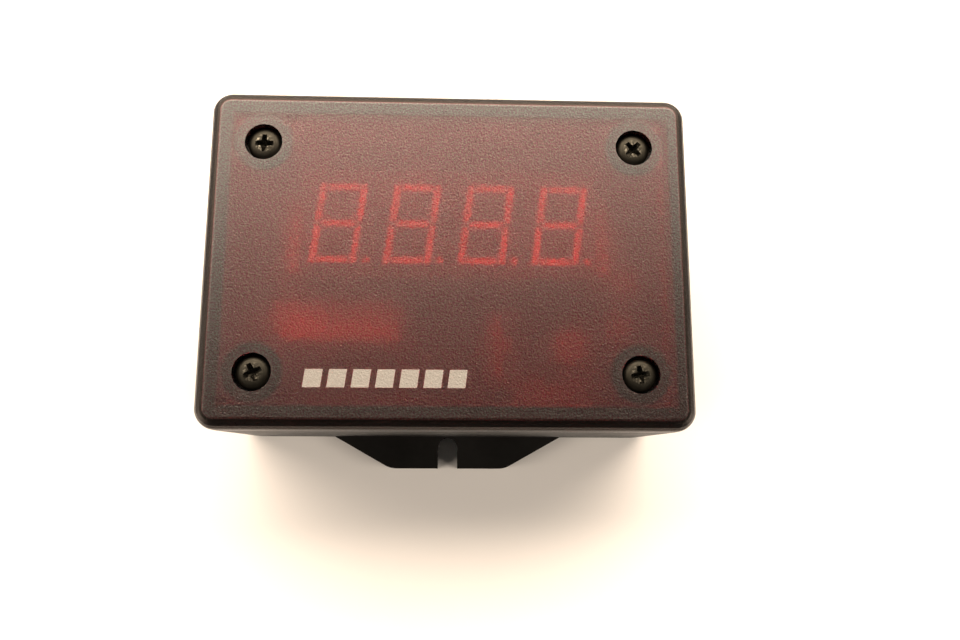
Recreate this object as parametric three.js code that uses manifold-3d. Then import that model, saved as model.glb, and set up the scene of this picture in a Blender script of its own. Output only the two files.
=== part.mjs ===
// Four-digit display meter in a flanged wall case, as an assembly of separate parts.
// Millimetres. +X runs along the row of digits, +Y up the display and +Z out of its front.
// The origin is the middle of the flat back, which lies in the plane z = 0.
import * as THREE from "three";
import { mergeVertices } from "three/addons/utils/BufferGeometryUtils.js";
import Module from "manifold-3d";

const wasm = await Module();
wasm.setup();

// ---------------------------------------------------------------- driving dimensions

// Case
const CASE_WIDTH = 82.4;
const CASE_HEIGHT = 58.2; // without the flanges
const CASE_DEPTH = 35;
const CORNER_RADIUS = 3.5;
const DRAFT = 0.5; // how far each side wall leans in at the back
const WALL = 2.5;
const FLOOR = 2.5;
const REAR_EDGE_RADIUS = 1;

// Front cover
const COVER_HEIGHT = 4.5;
const WINDOW_THICKNESS = 2.5;
const COVER_EDGE_RADIUS = 2;
const PARTING_GAP = 0.1;
const LIP_DEPTH = 1.5; // how far the locating lip reaches into the case
const LIP_THICKNESS = 1.2;
const LIP_CLEARANCE = 0.2;

// Cover screws and the bosses that they bite into
const SCREW_INSET = 9.3; // from the outside of the case to a screw's axis
const COVER_SCREW = { head: 2.92, headHeight: 2, thread: 1.42, length: 14, cross: 3.1, crossDepth: 1.3 };
const COUNTERBORE_DEPTH = 2.6;
const COUNTERBORE_CLEARANCE = 0.28;
const HOLE_CLEARANCE = 0.2;
const THREAD_CLEARANCE = 0.05;
const BOSS_RADIUS = 4.6;
const BOSS_RIB = 1.5;
const SEAT_GAP = 0.05; // left under what is screwed or laid down, so that faces do not merge

// Mounting flanges
const FLANGE_THICKNESS = 3;
const FLANGE_REACH = 5.8; // past the side of the case at the split line
const FLANGE_ROOT = 45.1;
const FLANGE_TIP = 22.6;
const FLANGE_CORNER = 1.2;
const SLOT_WIDTH = 3.9;
const SLOT_WALL_GAP = 0.2; // between the slot's closed end and the case

// Boards
const BOARD_THICKNESS = 1.6;
const BOARD_EDGE_CLEARANCE = 1.6; // to the case, at the split line
const BOSS_CLEARANCE = 0.8; // around the bosses
const POST_RADIUS = 3;
const POST_INSET = 4; // from the main board's end to a post's axis
const POST_SPACING = 17; // between the two posts at one end
const BOARD_SCREW = { head: 2.3, headHeight: 1.7, thread: 1.25, length: 6.4, cross: 2.6, crossDepth: 1 };
const HEADER_HEIGHT = 2.5;
const SOCKET_HEIGHT = 8.5;
const HEADER_WIDTH = 2.5;
const HEADER_PINS = 6;
const PIN_PITCH = 2.54;
const PIN_WIDTH = 0.64;
const HEADER_PIN_REACH = 5.8; // of a header's pins into their socket

// Digits
const DIGITS = 4;
const DIGIT_PITCH = 12.7;
const DIGIT_BODY = { width: 12.6, height: 19, depth: 8 };
const DIGIT_ROW_RISE = 6.3; // of the row's middle above the middle of the case
const DIGIT_WINDOW_GAP = 0.8; // from the digits' faces to the cover
const GLYPH = { width: 8.17, height: 14.13, stroke: 1.2, gap: 0.25, slant: 7.3 };
const POINT_RADIUS = 0.65;
const POINT_OFFSET = 1.55; // from the glyph's corner to the decimal point
const DIGIT_WALL = 0.8;
const DIGIT_FACE = 1;
const SEGMENT_CLEARANCE = 0.04;
const DIGIT_BACK_RECESS = 0.5; // from the back of the box to the resin

// Terminal block with rising clamps. Wires enter it from -Y, and heights are above the board.
const POLES = 6;
const POLE_PITCH = 3.5;
const TERMINAL = { depth: 7, height: 8.75, end: 0.4 };
const TERMINAL_LEFT = 6.3; // from the main board's lower left corner to the block's
const TERMINAL_RISE = 13;
const CLAMP = { width: 2.6, depth: 3.4, height: 4, top: 1.2, bottom: 0.9, side: 0.35, rest: 0.7 };
const CLAMP_TRAVEL = 1.2;
const CLAMP_CLEARANCE = 0.15;
const CLAMP_SCREW = { head: 1.2, headHeight: 1.2, thread: 0.9, length: 2.85, slot: 0.4, slotDepth: 0.6 };
const CLAMP_AXIS = 2.9; // from the wire side to a screw's axis
const LEDGE = 0.3; // that a clamp screw's head rests on
const CONTACT = { thickness: 0.4, width: 1.2, gap: 0.15 };
const WIRE_ENTRY = 2.4;

// Cable grommet in the left wall
const CABLE_RADIUS = 3.3;
const GROMMET = { neck: 4.6, rim: 6.1, lip: 1, recess: 1.2, clearance: 0.1, y: -9.5, aboveBoard: 9.6 };

// Parts of the main board. x and y are from its middle, and rise is from its lower edge.
const SINK = { rise: 10, width: 13, depth: 6, height: 18, sheet: 1.3, stand: 0.4 };
const REGULATOR = { width: 10, body: 9.2, thickness: 4.4, tab: 1.3, tabHeight: 15.7, legs: 3, gap: 0.05 };
const REGULATOR_SCREW = { head: 2.8, headHeight: 1.8, thread: 1.5, cross: 3, crossDepth: 1 };
const REGULATOR_SCREW_TAIL = 2.5; // that stands out behind the heat sink
const CAPACITOR = { rise: 11.6, radius: 4, height: 11.5 };
const MICROCONTROLLER = { x: -13, y: 6.3, pins: 18 };
const LED_DRIVER = { x: 13, y: 6.3, pins: 16 };
const DUAL_IN_LINE = { width: 6.35, height: 3.3, stand: 0.5, row: 7.62, lead: 0.5, leadThickness: 0.25 };
const RESISTOR_NETWORK = { x: -12, y: -1.4, length: 22.8, width: 2.2, height: 5 };
const DIODE = { radius: 1.35, length: 5.2, lead: 0.4, span: 9.5, stand: 0.3 };
const BUTTON = { size: 6, height: 3.4, stem: 1.75, stemHeight: 1.6, floor: 1, travel: 0.25, clearance: 0.08 };
const BUTTONS = 2;
const BUTTON_PITCH = 7;
const BUTTON_RISE = 3.4;
const PART_MARGIN = 0.5; // between neighbours, and from a notch in the board to the parts beside it
const TRIMMER = { size: 6.6, height: 4.8 };
const TRIMMER_ROTOR = { radius: 2.2, height: 1.2, slot: 0.6, slotDepth: 0.6, clearance: 0.08 };

// Facets
const CORNER_STEPS = 5;
const EDGE_STEPS = 4;
const ROUND = 24;
const SMALL_ROUND = 14;
const BUTTON_ROUND = 18;

// ---------------------------------------------------------------- places worked out from them

const splitZ = CASE_DEPTH - COVER_HEIGHT;
const caseTop = splitZ - PARTING_GAP;
const windowInside = CASE_DEPTH - WINDOW_THICKNESS;
const screwX = CASE_WIDTH / 2 - SCREW_INSET;
const screwY = CASE_HEIGHT / 2 - SCREW_INSET;
const corners = [
  [-screwX, screwY],
  [screwX, screwY],
  [-screwX, -screwY],
  [screwX, -screwY],
];
const lipFoot = splitZ - LIP_DEPTH;
const coverRim = WALL + LIP_CLEARANCE; // from the outside of the cover to its hollow

const digitFaceZ = windowInside - DIGIT_WINDOW_GAP;
const displayBoardTop = digitFaceZ - DIGIT_BODY.depth;
const displayBoardFoot = displayBoardTop - BOARD_THICKNESS;
const mainBoardTop = displayBoardFoot - HEADER_HEIGHT - SOCKET_HEIGHT;
const mainBoardFoot = mainBoardTop - BOARD_THICKNESS;
const boardWidth = CASE_WIDTH - 2 * (WALL + BOARD_EDGE_CLEARANCE);
const boardHeight = CASE_HEIGHT - 2 * (WALL + BOARD_EDGE_CLEARANCE);
const postX = boardWidth / 2 - POST_INSET;
const posts = [
  [-postX, POST_SPACING / 2],
  [postX, POST_SPACING / 2],
  [-postX, -POST_SPACING / 2],
  [postX, -POST_SPACING / 2],
];

const boardLow = -boardHeight / 2;
const notchX = screwX - BOSS_RADIUS - BOSS_CLEARANCE; // where the boards' corner notches start
const notchY = screwY - BOSS_RADIUS - BOSS_CLEARANCE;

const digitRow = Array.from({ length: DIGITS }, (_, i) => (i - (DIGITS - 1) / 2) * DIGIT_PITCH);
const digitRowWidth = DIGITS * DIGIT_PITCH;
const headerX = digitRowWidth / 2 + HEADER_WIDTH;
const headerLength = HEADER_PINS * PIN_PITCH;
const headerY = Math.min(DIGIT_ROW_RISE, notchY - headerLength / 2);
const displayBoardWidth = 2 * headerX + HEADER_WIDTH + 1.6;
const displayBoardHeight = DIGIT_BODY.height + 1.2;
const slant = Math.tan(THREE.MathUtils.degToRad(GLYPH.slant));

const terminalLength = POLES * POLE_PITCH + 2 * TERMINAL.end;
const terminalX = -boardWidth / 2 + TERMINAL_LEFT + terminalLength / 2;
const terminalFrontY = boardLow + TERMINAL_RISE;
const clampAxisY = terminalFrontY + CLAMP_AXIS;
const poles = Array.from({ length: POLES }, (_, i) => terminalX + (i - (POLES - 1) / 2) * POLE_PITCH);
const clampRoof = CLAMP.rest + CLAMP.height + CLAMP_TRAVEL + CLAMP_CLEARANCE;
const clampScrewSeat = clampRoof + LEDGE;

const besideNotch = notchX - PART_MARGIN;
const capacitorX = besideNotch - CAPACITOR.radius;
const lastButtonX = besideNotch - BUTTON.size / 2;
const buttonRow = Array.from({ length: BUTTONS }, (_, i) => lastButtonX - (BUTTONS - 1 - i) * BUTTON_PITCH);
const buttonY = boardLow + BUTTON_RISE;
const sinkX = buttonRow[0] - BUTTON.size / 2 - PART_MARGIN - SINK.depth;
const sinkY = boardLow + SINK.rise;
const sinkInside = sinkX + SINK.sheet;

const grommetZ = mainBoardTop + GROMMET.aboveBoard;
const grommetLean = (DRAFT * (caseTop - grommetZ)) / caseTop;
const grommetWallX = -CASE_WIDTH / 2 + grommetLean;

// ---------------------------------------------------------------- solids

// A closed geometry as a manifold solid.
function solid(geometry) {
  const bare = new THREE.BufferGeometry();
  bare.setAttribute("position", geometry.attributes.position);
  if (geometry.index) bare.setIndex(geometry.index);
  const merged = mergeVertices(bare, 1e-4);
  return new wasm.Manifold(
    new wasm.Mesh({
      numProp: 3,
      vertProperties: new Float32Array(merged.attributes.position.array),
      triVerts: new Uint32Array(merged.index.array),
    }),
  );
}

function joined(...solids) {
  return solids.reduce((sum, next) => sum.add(next));
}

function cut(body, ...tools) {
  return tools.reduce((left, tool) => left.subtract(tool), body);
}

// A box whose middle is at x, y and whose foot is at z.
function block(width, depth, height, x = 0, y = 0, z = 0) {
  return solid(new THREE.BoxGeometry(width, depth, height).translate(x, y, z + height / 2));
}

// An upright cylinder or cone whose foot is at z.
function pillar(radius, height, x = 0, y = 0, z = 0, sides = ROUND, topRadius = radius) {
  const geometry = new THREE.CylinderGeometry(topRadius, radius, height, sides);
  return solid(geometry.rotateX(Math.PI / 2).translate(x, y, z + height / 2));
}

// A cylinder along X that starts at x.
function rod(radius, length, x, y, z, sides = SMALL_ROUND) {
  const geometry = new THREE.CylinderGeometry(radius, radius, length, sides);
  return solid(geometry.rotateZ(Math.PI / 2).translate(x + length / 2, y, z));
}

// A rectangle with round corners, about the origin.
function roundedRectangle(width, height, radius) {
  const x = width / 2 - radius;
  const y = height / 2 - radius;
  const shape = new THREE.Shape();
  shape.absarc(x, -y, radius, -Math.PI / 2, 0);
  shape.absarc(x, y, radius, 0, Math.PI / 2);
  shape.absarc(-x, y, radius, Math.PI / 2, Math.PI);
  shape.absarc(-x, -y, radius, Math.PI, 1.5 * Math.PI);
  return shape;
}

function extruded(shape, height, steps = CORNER_STEPS) {
  return new THREE.ExtrudeGeometry(shape, { depth: height, bevelEnabled: false, curveSegments: steps });
}

// An upright prism whose foot is at z.
function prism(shape, height, x = 0, y = 0, z = 0, steps = CORNER_STEPS) {
  return solid(extruded(shape, height, steps).translate(x, y, z));
}

// A prism with round edges at its foot and top, from z = 0 to height.
function softPrism(shape, height, edge) {
  return new THREE.ExtrudeGeometry(shape, {
    depth: height - 2 * edge,
    bevelThickness: edge,
    bevelSize: edge,
    bevelOffset: -edge,
    bevelSegments: EDGE_STEPS,
    curveSegments: CORNER_STEPS,
  }).translate(0, 0, edge);
}

// Leans the side walls in by DRAFT from the split line down to the back.
function drafted(geometry) {
  const position = geometry.attributes.position;
  for (let i = 0; i < position.count; i++) {
    const lean = (DRAFT * (caseTop - position.getZ(i))) / caseTop;
    position.setX(i, position.getX(i) - Math.sign(position.getX(i)) * lean);
    position.setY(i, position.getY(i) - Math.sign(position.getY(i)) * lean);
  }
  return geometry;
}

// A solid of revolution about Z from a closed or axis-to-axis profile of [radius, z] pairs.
function revolved(profile, sides = ROUND) {
  const points = profile.map(([r, z]) => new THREE.Vector2(r, z));
  return solid(new THREE.LatheGeometry(points, sides).rotateX(Math.PI / 2));
}

const CROSS_WIDTH = 0.75; // of a cross recess's arms
const HEAD_SHOULDER = 0.45; // share of a pan head's height where its dome starts

// A pan-head screw with a cross recess. Its head rests on z = 0 and its thread points down.
function crossScrew({ head, headHeight, thread, length, cross, crossDepth }) {
  const dome = [0, 1, 2, 3].map((step) => {
    const turn = (step / 3) * (Math.PI / 2) * 0.86;
    const rise = headHeight * (HEAD_SHOULDER + (1 - HEAD_SHOULDER) * Math.sin(turn));
    return [head * Math.cos(turn) ** 0.6, rise];
  });
  const profile = [
    [0, -length],
    [thread * 0.3, -length],
    [thread, -length + thread],
    [thread, 0],
    [head * 0.97, 0],
    ...dome,
    [0, headHeight],
  ];
  const arms = [
    block(cross, CROSS_WIDTH, crossDepth + 1, 0, 0, headHeight - crossDepth),
    block(CROSS_WIDTH, cross, crossDepth + 1, 0, 0, headHeight - crossDepth),
  ];
  return cut(revolved(profile), ...arms);
}

// ---------------------------------------------------------------- materials

function plastic(color, roughness = 0.5) {
  return new THREE.MeshStandardMaterial({ color, roughness, metalness: 0 });
}

function windowPlastic(color, roughness) {
  return new THREE.MeshStandardMaterial({ color, roughness, metalness: 0, transparent: true, opacity: 0.8 });
}

function metal(color, roughness = 0.35) {
  return new THREE.MeshStandardMaterial({ color, roughness, metalness: 1 });
}

const MATERIALS = {
  blackAbs: plastic(0x14130f, 0.55),
  redWindow: windowPlastic(0x5a1216, 0.4),
  blackScrew: metal(0x2a2925, 0.4),
  steel: metal(0xc3c2bd, 0.3),
  brass: metal(0xc9a45c, 0.35),
  tinned: metal(0xcfcfcb, 0.3),
  aluminium: metal(0xb4b5b8, 0.45),
  board: plastic(0x1c5a34, 0.45),
  darkGrey: plastic(0x3a3636, 0.6),
  segment: plastic(0xd8544e, 0.4),
  chip: plastic(0x191919, 0.6),
  terminalGrey: plastic(0xb9b9b2, 0.5),
  rubber: plastic(0x121212, 0.85),
  sleeve: plastic(0x1b2a55, 0.4),
  trimmerBlue: plastic(0x2457a6, 0.45),
  trimmerWhite: plastic(0xe8e5db, 0.5),
};

const meter = new THREE.Group();

// Adds a solid to the assembly under a name, at a place.
function addPart(name, body, material, x = 0, y = 0, z = 0) {
  const made = body.getMesh();
  const geometry = new THREE.BufferGeometry();
  geometry.setAttribute("position", new THREE.BufferAttribute(made.vertProperties, 3));
  geometry.setIndex(new THREE.BufferAttribute(made.triVerts, 1));
  geometry.computeVertexNormals();
  const mesh = new THREE.Mesh(geometry, MATERIALS[material]);
  mesh.name = name;
  mesh.position.set(x, y, z);
  meter.add(mesh);
}

// ---------------------------------------------------------------- rear case

// A tapered mounting tab on one long side, with a slot that opens at its tip. side is 1 or -1.
function flange(side) {
  const root = CASE_HEIGHT / 2 - DRAFT - WALL;
  const tip = CASE_HEIGHT / 2 + FLANGE_REACH;
  const flareStart = CASE_HEIGHT / 2 - DRAFT;
  const run = (FLANGE_ROOT - FLANGE_TIP) / 2;
  const length = Math.hypot(run, tip - flareStart);
  const backX = (run / length) * FLANGE_CORNER;
  const backY = ((tip - flareStart) / length) * FLANGE_CORNER;
  const shape = new THREE.Shape();
  shape.moveTo(-FLANGE_ROOT / 2, root);
  shape.lineTo(FLANGE_ROOT / 2, root);
  shape.lineTo(FLANGE_ROOT / 2, flareStart);
  shape.lineTo(FLANGE_TIP / 2 + backX, tip - backY);
  shape.quadraticCurveTo(FLANGE_TIP / 2, tip, FLANGE_TIP / 2 - FLANGE_CORNER, tip);
  shape.lineTo(-FLANGE_TIP / 2 + FLANGE_CORNER, tip);
  shape.quadraticCurveTo(-FLANGE_TIP / 2, tip, -FLANGE_TIP / 2 - backX, tip - backY);
  shape.lineTo(-FLANGE_ROOT / 2, flareStart);
  const slotY = flareStart + SLOT_WALL_GAP + SLOT_WIDTH / 2;
  const height = FLANGE_THICKNESS + 2;
  const tab = cut(
    prism(shape, FLANGE_THICKNESS),
    pillar(SLOT_WIDTH / 2, height, 0, slotY, -1),
    block(SLOT_WIDTH, FLANGE_REACH * 2, height, 0, slotY + FLANGE_REACH, -1),
  );
  return tab.rotate([0, 0, side > 0 ? 0 : 180]);
}

// A screw boss with a rib to each of the two walls beside it.
function boss([x, y]) {
  const height = caseTop - FLOOR / 2;
  const ribTop = lipFoot - SEAT_GAP - PARTING_GAP;
  const reach = SCREW_INSET - WALL / 2 - DRAFT;
  const ribHeight = ribTop - FLOOR / 2;
  const outX = Math.sign(x) * (Math.abs(x) + reach / 2);
  const outY = Math.sign(y) * (Math.abs(y) + reach / 2);
  return joined(
    pillar(BOSS_RADIUS, height, x, y, FLOOR / 2),
    block(reach, BOSS_RIB, ribHeight, outX, y, FLOOR / 2),
    block(BOSS_RIB, reach, ribHeight, x, outY, FLOOR / 2),
  );
}

function rearCase() {
  const outline = roundedRectangle(CASE_WIDTH, CASE_HEIGHT, CORNER_RADIUS);
  const inside = roundedRectangle(CASE_WIDTH - 2 * WALL, CASE_HEIGHT - 2 * WALL, CORNER_RADIUS - WALL / 2);
  const above = 10; // the closed prism runs past the split line and is trimmed there
  const shell = cut(
    solid(drafted(softPrism(outline, caseTop + above, REAR_EDGE_RADIUS))),
    block(2 * CASE_WIDTH, 2 * CASE_HEIGHT, 2 * above, 0, 0, caseTop),
    solid(drafted(extruded(inside, caseTop + above).translate(0, 0, FLOOR))),
  );
  const boardPosts = posts.map(([x, y]) => pillar(POST_RADIUS, mainBoardFoot - FLOOR / 2, x, y, FLOOR / 2));
  const coverBores = corners.map(([x, y]) => {
    const depth = COVER_SCREW.length - COVER_HEIGHT + COUNTERBORE_DEPTH + 1;
    return pillar(COVER_SCREW.thread + THREAD_CLEARANCE, depth + 1, x, y, caseTop - depth, SMALL_ROUND);
  });
  const boardBores = posts.map(([x, y]) => {
    const depth = BOARD_SCREW.length - BOARD_THICKNESS + 0.8;
    return pillar(BOARD_SCREW.thread + THREAD_CLEARANCE, depth + 1, x, y, mainBoardFoot - depth, SMALL_ROUND);
  });
  const outsideX = grommetWallX - WALL;
  const cableHole = joined(
    rod(GROMMET.neck + GROMMET.clearance, 3 * WALL, outsideX, GROMMET.y, grommetZ, ROUND),
    rod(GROMMET.rim + GROMMET.clearance, WALL + GROMMET.recess, outsideX, GROMMET.y, grommetZ, ROUND),
  );
  return cut(
    joined(shell, ...boardPosts, ...corners.map(boss), flange(1), flange(-1)),
    ...coverBores,
    ...boardBores,
    cableHole,
  );
}

// ---------------------------------------------------------------- front cover

function frontCover() {
  const outline = roundedRectangle(CASE_WIDTH, CASE_HEIGHT, CORNER_RADIUS);
  const spare = 6; // the soft prism starts this far below the split line and is trimmed there
  const slab = cut(
    solid(softPrism(outline, COVER_HEIGHT + spare, COVER_EDGE_RADIUS).translate(0, 0, splitZ - spare)),
    block(2 * CASE_WIDTH, 2 * CASE_HEIGHT, spare, 0, 0, splitZ - spare),
  );
  const lipWidth = CASE_WIDTH - 2 * (WALL + LIP_CLEARANCE);
  const lipHeight = CASE_HEIGHT - 2 * (WALL + LIP_CLEARANCE);
  const lipRadius = CORNER_RADIUS - WALL / 2;
  const recess = roundedRectangle(CASE_WIDTH - 2 * coverRim, CASE_HEIGHT - 2 * coverRim, lipRadius);
  const lipOuter = roundedRectangle(lipWidth, lipHeight, lipRadius);
  const lipInnerWidth = lipWidth - 2 * LIP_THICKNESS;
  const lipInnerHeight = lipHeight - 2 * LIP_THICKNESS;
  const lipInner = roundedRectangle(lipInnerWidth, lipInnerHeight, lipRadius / 2);
  const lipTop = windowInside + WINDOW_THICKNESS / 2;
  const bossRoom = corners.map(([x, y]) =>
    pillar(BOSS_RADIUS + LIP_CLEARANCE, splitZ - lipFoot + 1, x, y, lipFoot - 1),
  );
  const lip = cut(
    prism(lipOuter, lipTop - lipFoot, 0, 0, lipFoot),
    prism(lipInner, lipTop - lipFoot + 2, 0, 0, lipFoot - 1),
    ...bossRoom,
  );
  const pads = corners.map(([x, y]) => pillar(BOSS_RADIUS, lipTop - splitZ, x, y, splitZ));
  const counterboreRadius = COVER_SCREW.head + COUNTERBORE_CLEARANCE;
  const counterbores = corners.map(([x, y]) =>
    pillar(counterboreRadius, COUNTERBORE_DEPTH + 1, x, y, CASE_DEPTH - COUNTERBORE_DEPTH),
  );
  const holes = corners.map(([x, y]) =>
    pillar(COVER_SCREW.thread + HOLE_CLEARANCE, COVER_HEIGHT + 2, x, y, splitZ - 1),
  );
  const plate = cut(slab, prism(recess, windowInside - splitZ + 1, 0, 0, splitZ - 1));
  return cut(joined(plate, lip, ...pads), ...counterbores, ...holes);
}

addPart("rear_case", rearCase(), "blackAbs");
addPart("front_cover", frontCover(), "redWindow");
corners.forEach(([x, y], i) => {
  const seat = CASE_DEPTH - COUNTERBORE_DEPTH + SEAT_GAP;
  addPart(`cover_screw_${i + 1}`, crossScrew(COVER_SCREW), "blackScrew", x, y, seat);
});

// ---------------------------------------------------------------- cable grommet

// A rubber ring whose neck sits in the wall's hole and whose outer lip lies in the hole's recess.
// It stands on z = 0 with its outer lip down.
function cableGrommet() {
  const { neck, rim, lip, recess } = GROMMET;
  const tilt = (DRAFT * rim) / caseTop; // the wall leans this much across the inner lip
  const groove = WALL - recess + 2 * PARTING_GAP + tilt;
  const top = groove + 2 * lip;
  const profile = [
    [CABLE_RADIUS, 0],
    [rim - lip / 2, 0],
    [rim, lip / 2],
    [rim, lip],
    [neck, lip],
    [neck, lip + groove],
    [rim, lip + groove],
    [rim, top - lip / 2],
    [rim - lip / 2, top],
    [CABLE_RADIUS, top],
    [CABLE_RADIUS, 0],
  ];
  return revolved(profile);
}

const grommetX = grommetWallX + GROMMET.recess - PARTING_GAP - GROMMET.lip;
addPart("cable_grommet", cableGrommet().rotate([0, 90, 0]), "rubber", grommetX, GROMMET.y, grommetZ);

// ---------------------------------------------------------------- boards

// A board with square notches that clear the screw bosses. y is the middle of the board in the case.
function notchedBoard(width, height, y, z) {
  const size = CASE_WIDTH / 2 - notchX; // past the side of any board
  const notches = corners.map(([bossX, bossY]) => {
    const outX = Math.sign(bossX) * (notchX + size / 2);
    const outY = Math.sign(bossY) * (notchY + size / 2);
    return block(size, size, BOARD_THICKNESS + 2, outX, outY, z - 1);
  });
  return cut(block(width, height, BOARD_THICKNESS, 0, y, z), ...notches);
}

function mainBoard() {
  const holes = posts.map(([x, y]) =>
    pillar(BOARD_SCREW.thread + HOLE_CLEARANCE, BOARD_THICKNESS + 2, x, y, mainBoardFoot - 1, SMALL_ROUND),
  );
  return cut(notchedBoard(boardWidth, boardHeight, 0, mainBoardFoot), ...holes);
}

function displayBoard() {
  return notchedBoard(displayBoardWidth, displayBoardHeight, DIGIT_ROW_RISE, displayBoardFoot);
}

// A row of contacts in a tall strip with one long mouth for the header's pins.
function socketStrip() {
  const mouthDepth = HEADER_PIN_REACH + 0.4;
  const mouthZ = SOCKET_HEIGHT - mouthDepth;
  const mouth = block(2 * PIN_WIDTH, headerLength - 1, mouthDepth + 1, 0, 0, mouthZ);
  return cut(block(HEADER_WIDTH, headerLength, SOCKET_HEIGHT), mouth);
}

// A header's plastic strip, with its pins pointing down.
function headerStrip() {
  const pins = Array.from({ length: HEADER_PINS }, (_, i) => {
    const y = (i - (HEADER_PINS - 1) / 2) * PIN_PITCH;
    return block(PIN_WIDTH, PIN_WIDTH, HEADER_PIN_REACH + HEADER_HEIGHT / 2, 0, y, -HEADER_PIN_REACH);
  });
  return joined(block(HEADER_WIDTH, headerLength, HEADER_HEIGHT), ...pins);
}

addPart("main_board", mainBoard(), "board");
addPart("display_board", displayBoard(), "board");
for (const [side, x] of [["left", -headerX], ["right", headerX]]) {
  addPart(`socket_strip_${side}`, socketStrip(), "chip", x, headerY, mainBoardTop);
  addPart(`header_strip_${side}`, headerStrip(), "chip", x, headerY, mainBoardTop + SOCKET_HEIGHT);
}
posts.forEach(([x, y], i) => {
  addPart(`board_screw_${i + 1}`, crossScrew(BOARD_SCREW), "steel", x, y, mainBoardTop + SEAT_GAP);
});

// ---------------------------------------------------------------- digits

// The seven bars of a digit as outlines, each drawn in by inset.
function barOutlines(inset) {
  const a = GLYPH.width / 2 - inset;
  const b = GLYPH.height / 2 - inset;
  const s = GLYPH.stroke - 2 * inset;
  const g = GLYPH.gap + 2 * inset;
  const upright = [
    [-a, b],
    [-a, g],
    [-a + s / 2, g],
    [-a + s, s / 2 + g],
    [-a + s, b],
  ];
  const across = [
    [-a + s + g, b],
    [-a + s + g, b - s],
    [a - s - g, b - s],
    [a - s - g, b],
  ];
  const middle = [
    [-a + s + g, s / 2],
    [-a + s / 2 + g, 0],
    [-a + s + g, -s / 2],
    [a - s - g, -s / 2],
    [a - s / 2 - g, 0],
    [a - s - g, s / 2],
  ];
  const mirrored = (points, mx, my) => points.map(([x, y]) => [x * mx, y * my]);
  const uprights = [
    [1, 1],
    [-1, 1],
    [1, -1],
    [-1, -1],
  ].map(([mx, my]) => mirrored(upright, mx, my));
  return [...uprights, across, mirrored(across, 1, -1), middle];
}

// The bars and the decimal point as upright prisms from z, slanted as the digit is.
function glyph(inset, height, z) {
  const bars = barOutlines(inset).map((outline) => {
    const points = outline.map(([x, y]) => new THREE.Vector2(x + y * slant, y));
    if (THREE.ShapeUtils.area(points) < 0) points.reverse();
    return prism(new THREE.Shape(points), height, 0, 0, z);
  });
  const pointY = -GLYPH.height / 2 + POINT_RADIUS;
  const pointX = GLYPH.width / 2 + pointY * slant + POINT_OFFSET;
  return joined(...bars, pillar(POINT_RADIUS - inset, height, pointX, pointY, z, SMALL_ROUND));
}

// A digit's box, open at the back, with a window for each bar. Its foot is at z = 0.
function digitHousing() {
  const { width, height, depth } = DIGIT_BODY;
  const pocket = block(width - 2 * DIGIT_WALL, height - 2 * DIGIT_WALL, depth - DIGIT_FACE + 1, 0, 0, -1);
  return cut(block(width, height, depth), pocket, glyph(0, DIGIT_FACE + 2, depth - DIGIT_FACE - 1));
}

// The tinted resin that fills a digit's box and stands in its windows.
function digitResin() {
  const { width, height, depth } = DIGIT_BODY;
  const inset = DIGIT_WALL + SEGMENT_CLEARANCE;
  const fillHeight = depth - DIGIT_FACE - SEGMENT_CLEARANCE - DIGIT_BACK_RECESS;
  const fill = block(width - 2 * inset, height - 2 * inset, fillHeight, 0, 0, DIGIT_BACK_RECESS);
  const bars = glyph(SEGMENT_CLEARANCE, DIGIT_FACE + 1 - SEGMENT_CLEARANCE, depth - DIGIT_FACE - 1);
  return joined(fill, bars);
}

digitRow.forEach((x, i) => {
  addPart(`digit_${i + 1}_housing`, digitHousing(), "darkGrey", x, DIGIT_ROW_RISE, displayBoardTop);
  addPart(`digit_${i + 1}_segments`, digitResin(), "segment", x, DIGIT_ROW_RISE, displayBoardTop);
});

// ---------------------------------------------------------------- terminal block

const contactTongueZ = CLAMP.rest + CLAMP.bottom + CLAMP_TRAVEL + CONTACT.gap;
const clampBack = CLAMP.depth / 2 + CLAMP_CLEARANCE; // behind the screw's axis
const cavityBack = clampBack + CONTACT.thickness + CLAMP_CLEARANCE;

// The moulded housing, with a screw well, a clamp cavity and a wire mouth for each pole.
function terminalHousing() {
  const middleY = terminalFrontY + TERMINAL.depth / 2;
  const body = block(terminalLength, TERMINAL.depth, TERMINAL.height, terminalX, middleY, 0);
  const cavityDepth = clampBack + cavityBack;
  const cavityY = clampAxisY + (cavityBack - clampBack) / 2;
  const wireSill = CLAMP.rest + CLAMP.bottom;
  const tools = poles.flatMap((x) => [
    pillar(CLAMP_SCREW.head + 0.1, TERMINAL.height, x, clampAxisY, clampScrewSeat - SEAT_GAP, SMALL_ROUND),
    pillar(CLAMP_SCREW.thread + 0.1, TERMINAL.height, x, clampAxisY, clampRoof - 0.1, SMALL_ROUND),
    block(CLAMP.width + 2 * CLAMP_CLEARANCE, cavityDepth, clampRoof + 1, x, cavityY, -1),
    block(WIRE_ENTRY, CLAMP_AXIS * 2, WIRE_ENTRY, x, terminalFrontY, wireSill),
  ]);
  return cut(body, ...tools);
}

// A screw with one slot. Its head rests on z = 0 and its thread points down.
function clampScrew() {
  const { head, headHeight, thread, length, slot, slotDepth } = CLAMP_SCREW;
  const body = joined(
    pillar(head, headHeight, 0, 0, 0, SMALL_ROUND),
    pillar(thread, length + headHeight / 2, 0, 0, -length, SMALL_ROUND),
  );
  return cut(body, block(3 * head, slot, slotDepth + 1, 0, 0, headHeight - slotDepth));
}

// The brass cage that a clamp screw draws up. Its foot is at z = 0 and the screw's axis at x = y = 0.
function clampCage() {
  const { width, depth, height, top, bottom, side } = CLAMP;
  const mouth = block(width - 2 * side, depth + 2, height - top - bottom, 0, 0, bottom);
  const radius = CLAMP_SCREW.thread + THREAD_CLEARANCE;
  const thread = pillar(radius, top + 1, 0, 0, height - top - 0.5, SMALL_ROUND);
  return cut(block(width, depth, height), mouth, thread);
}

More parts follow.
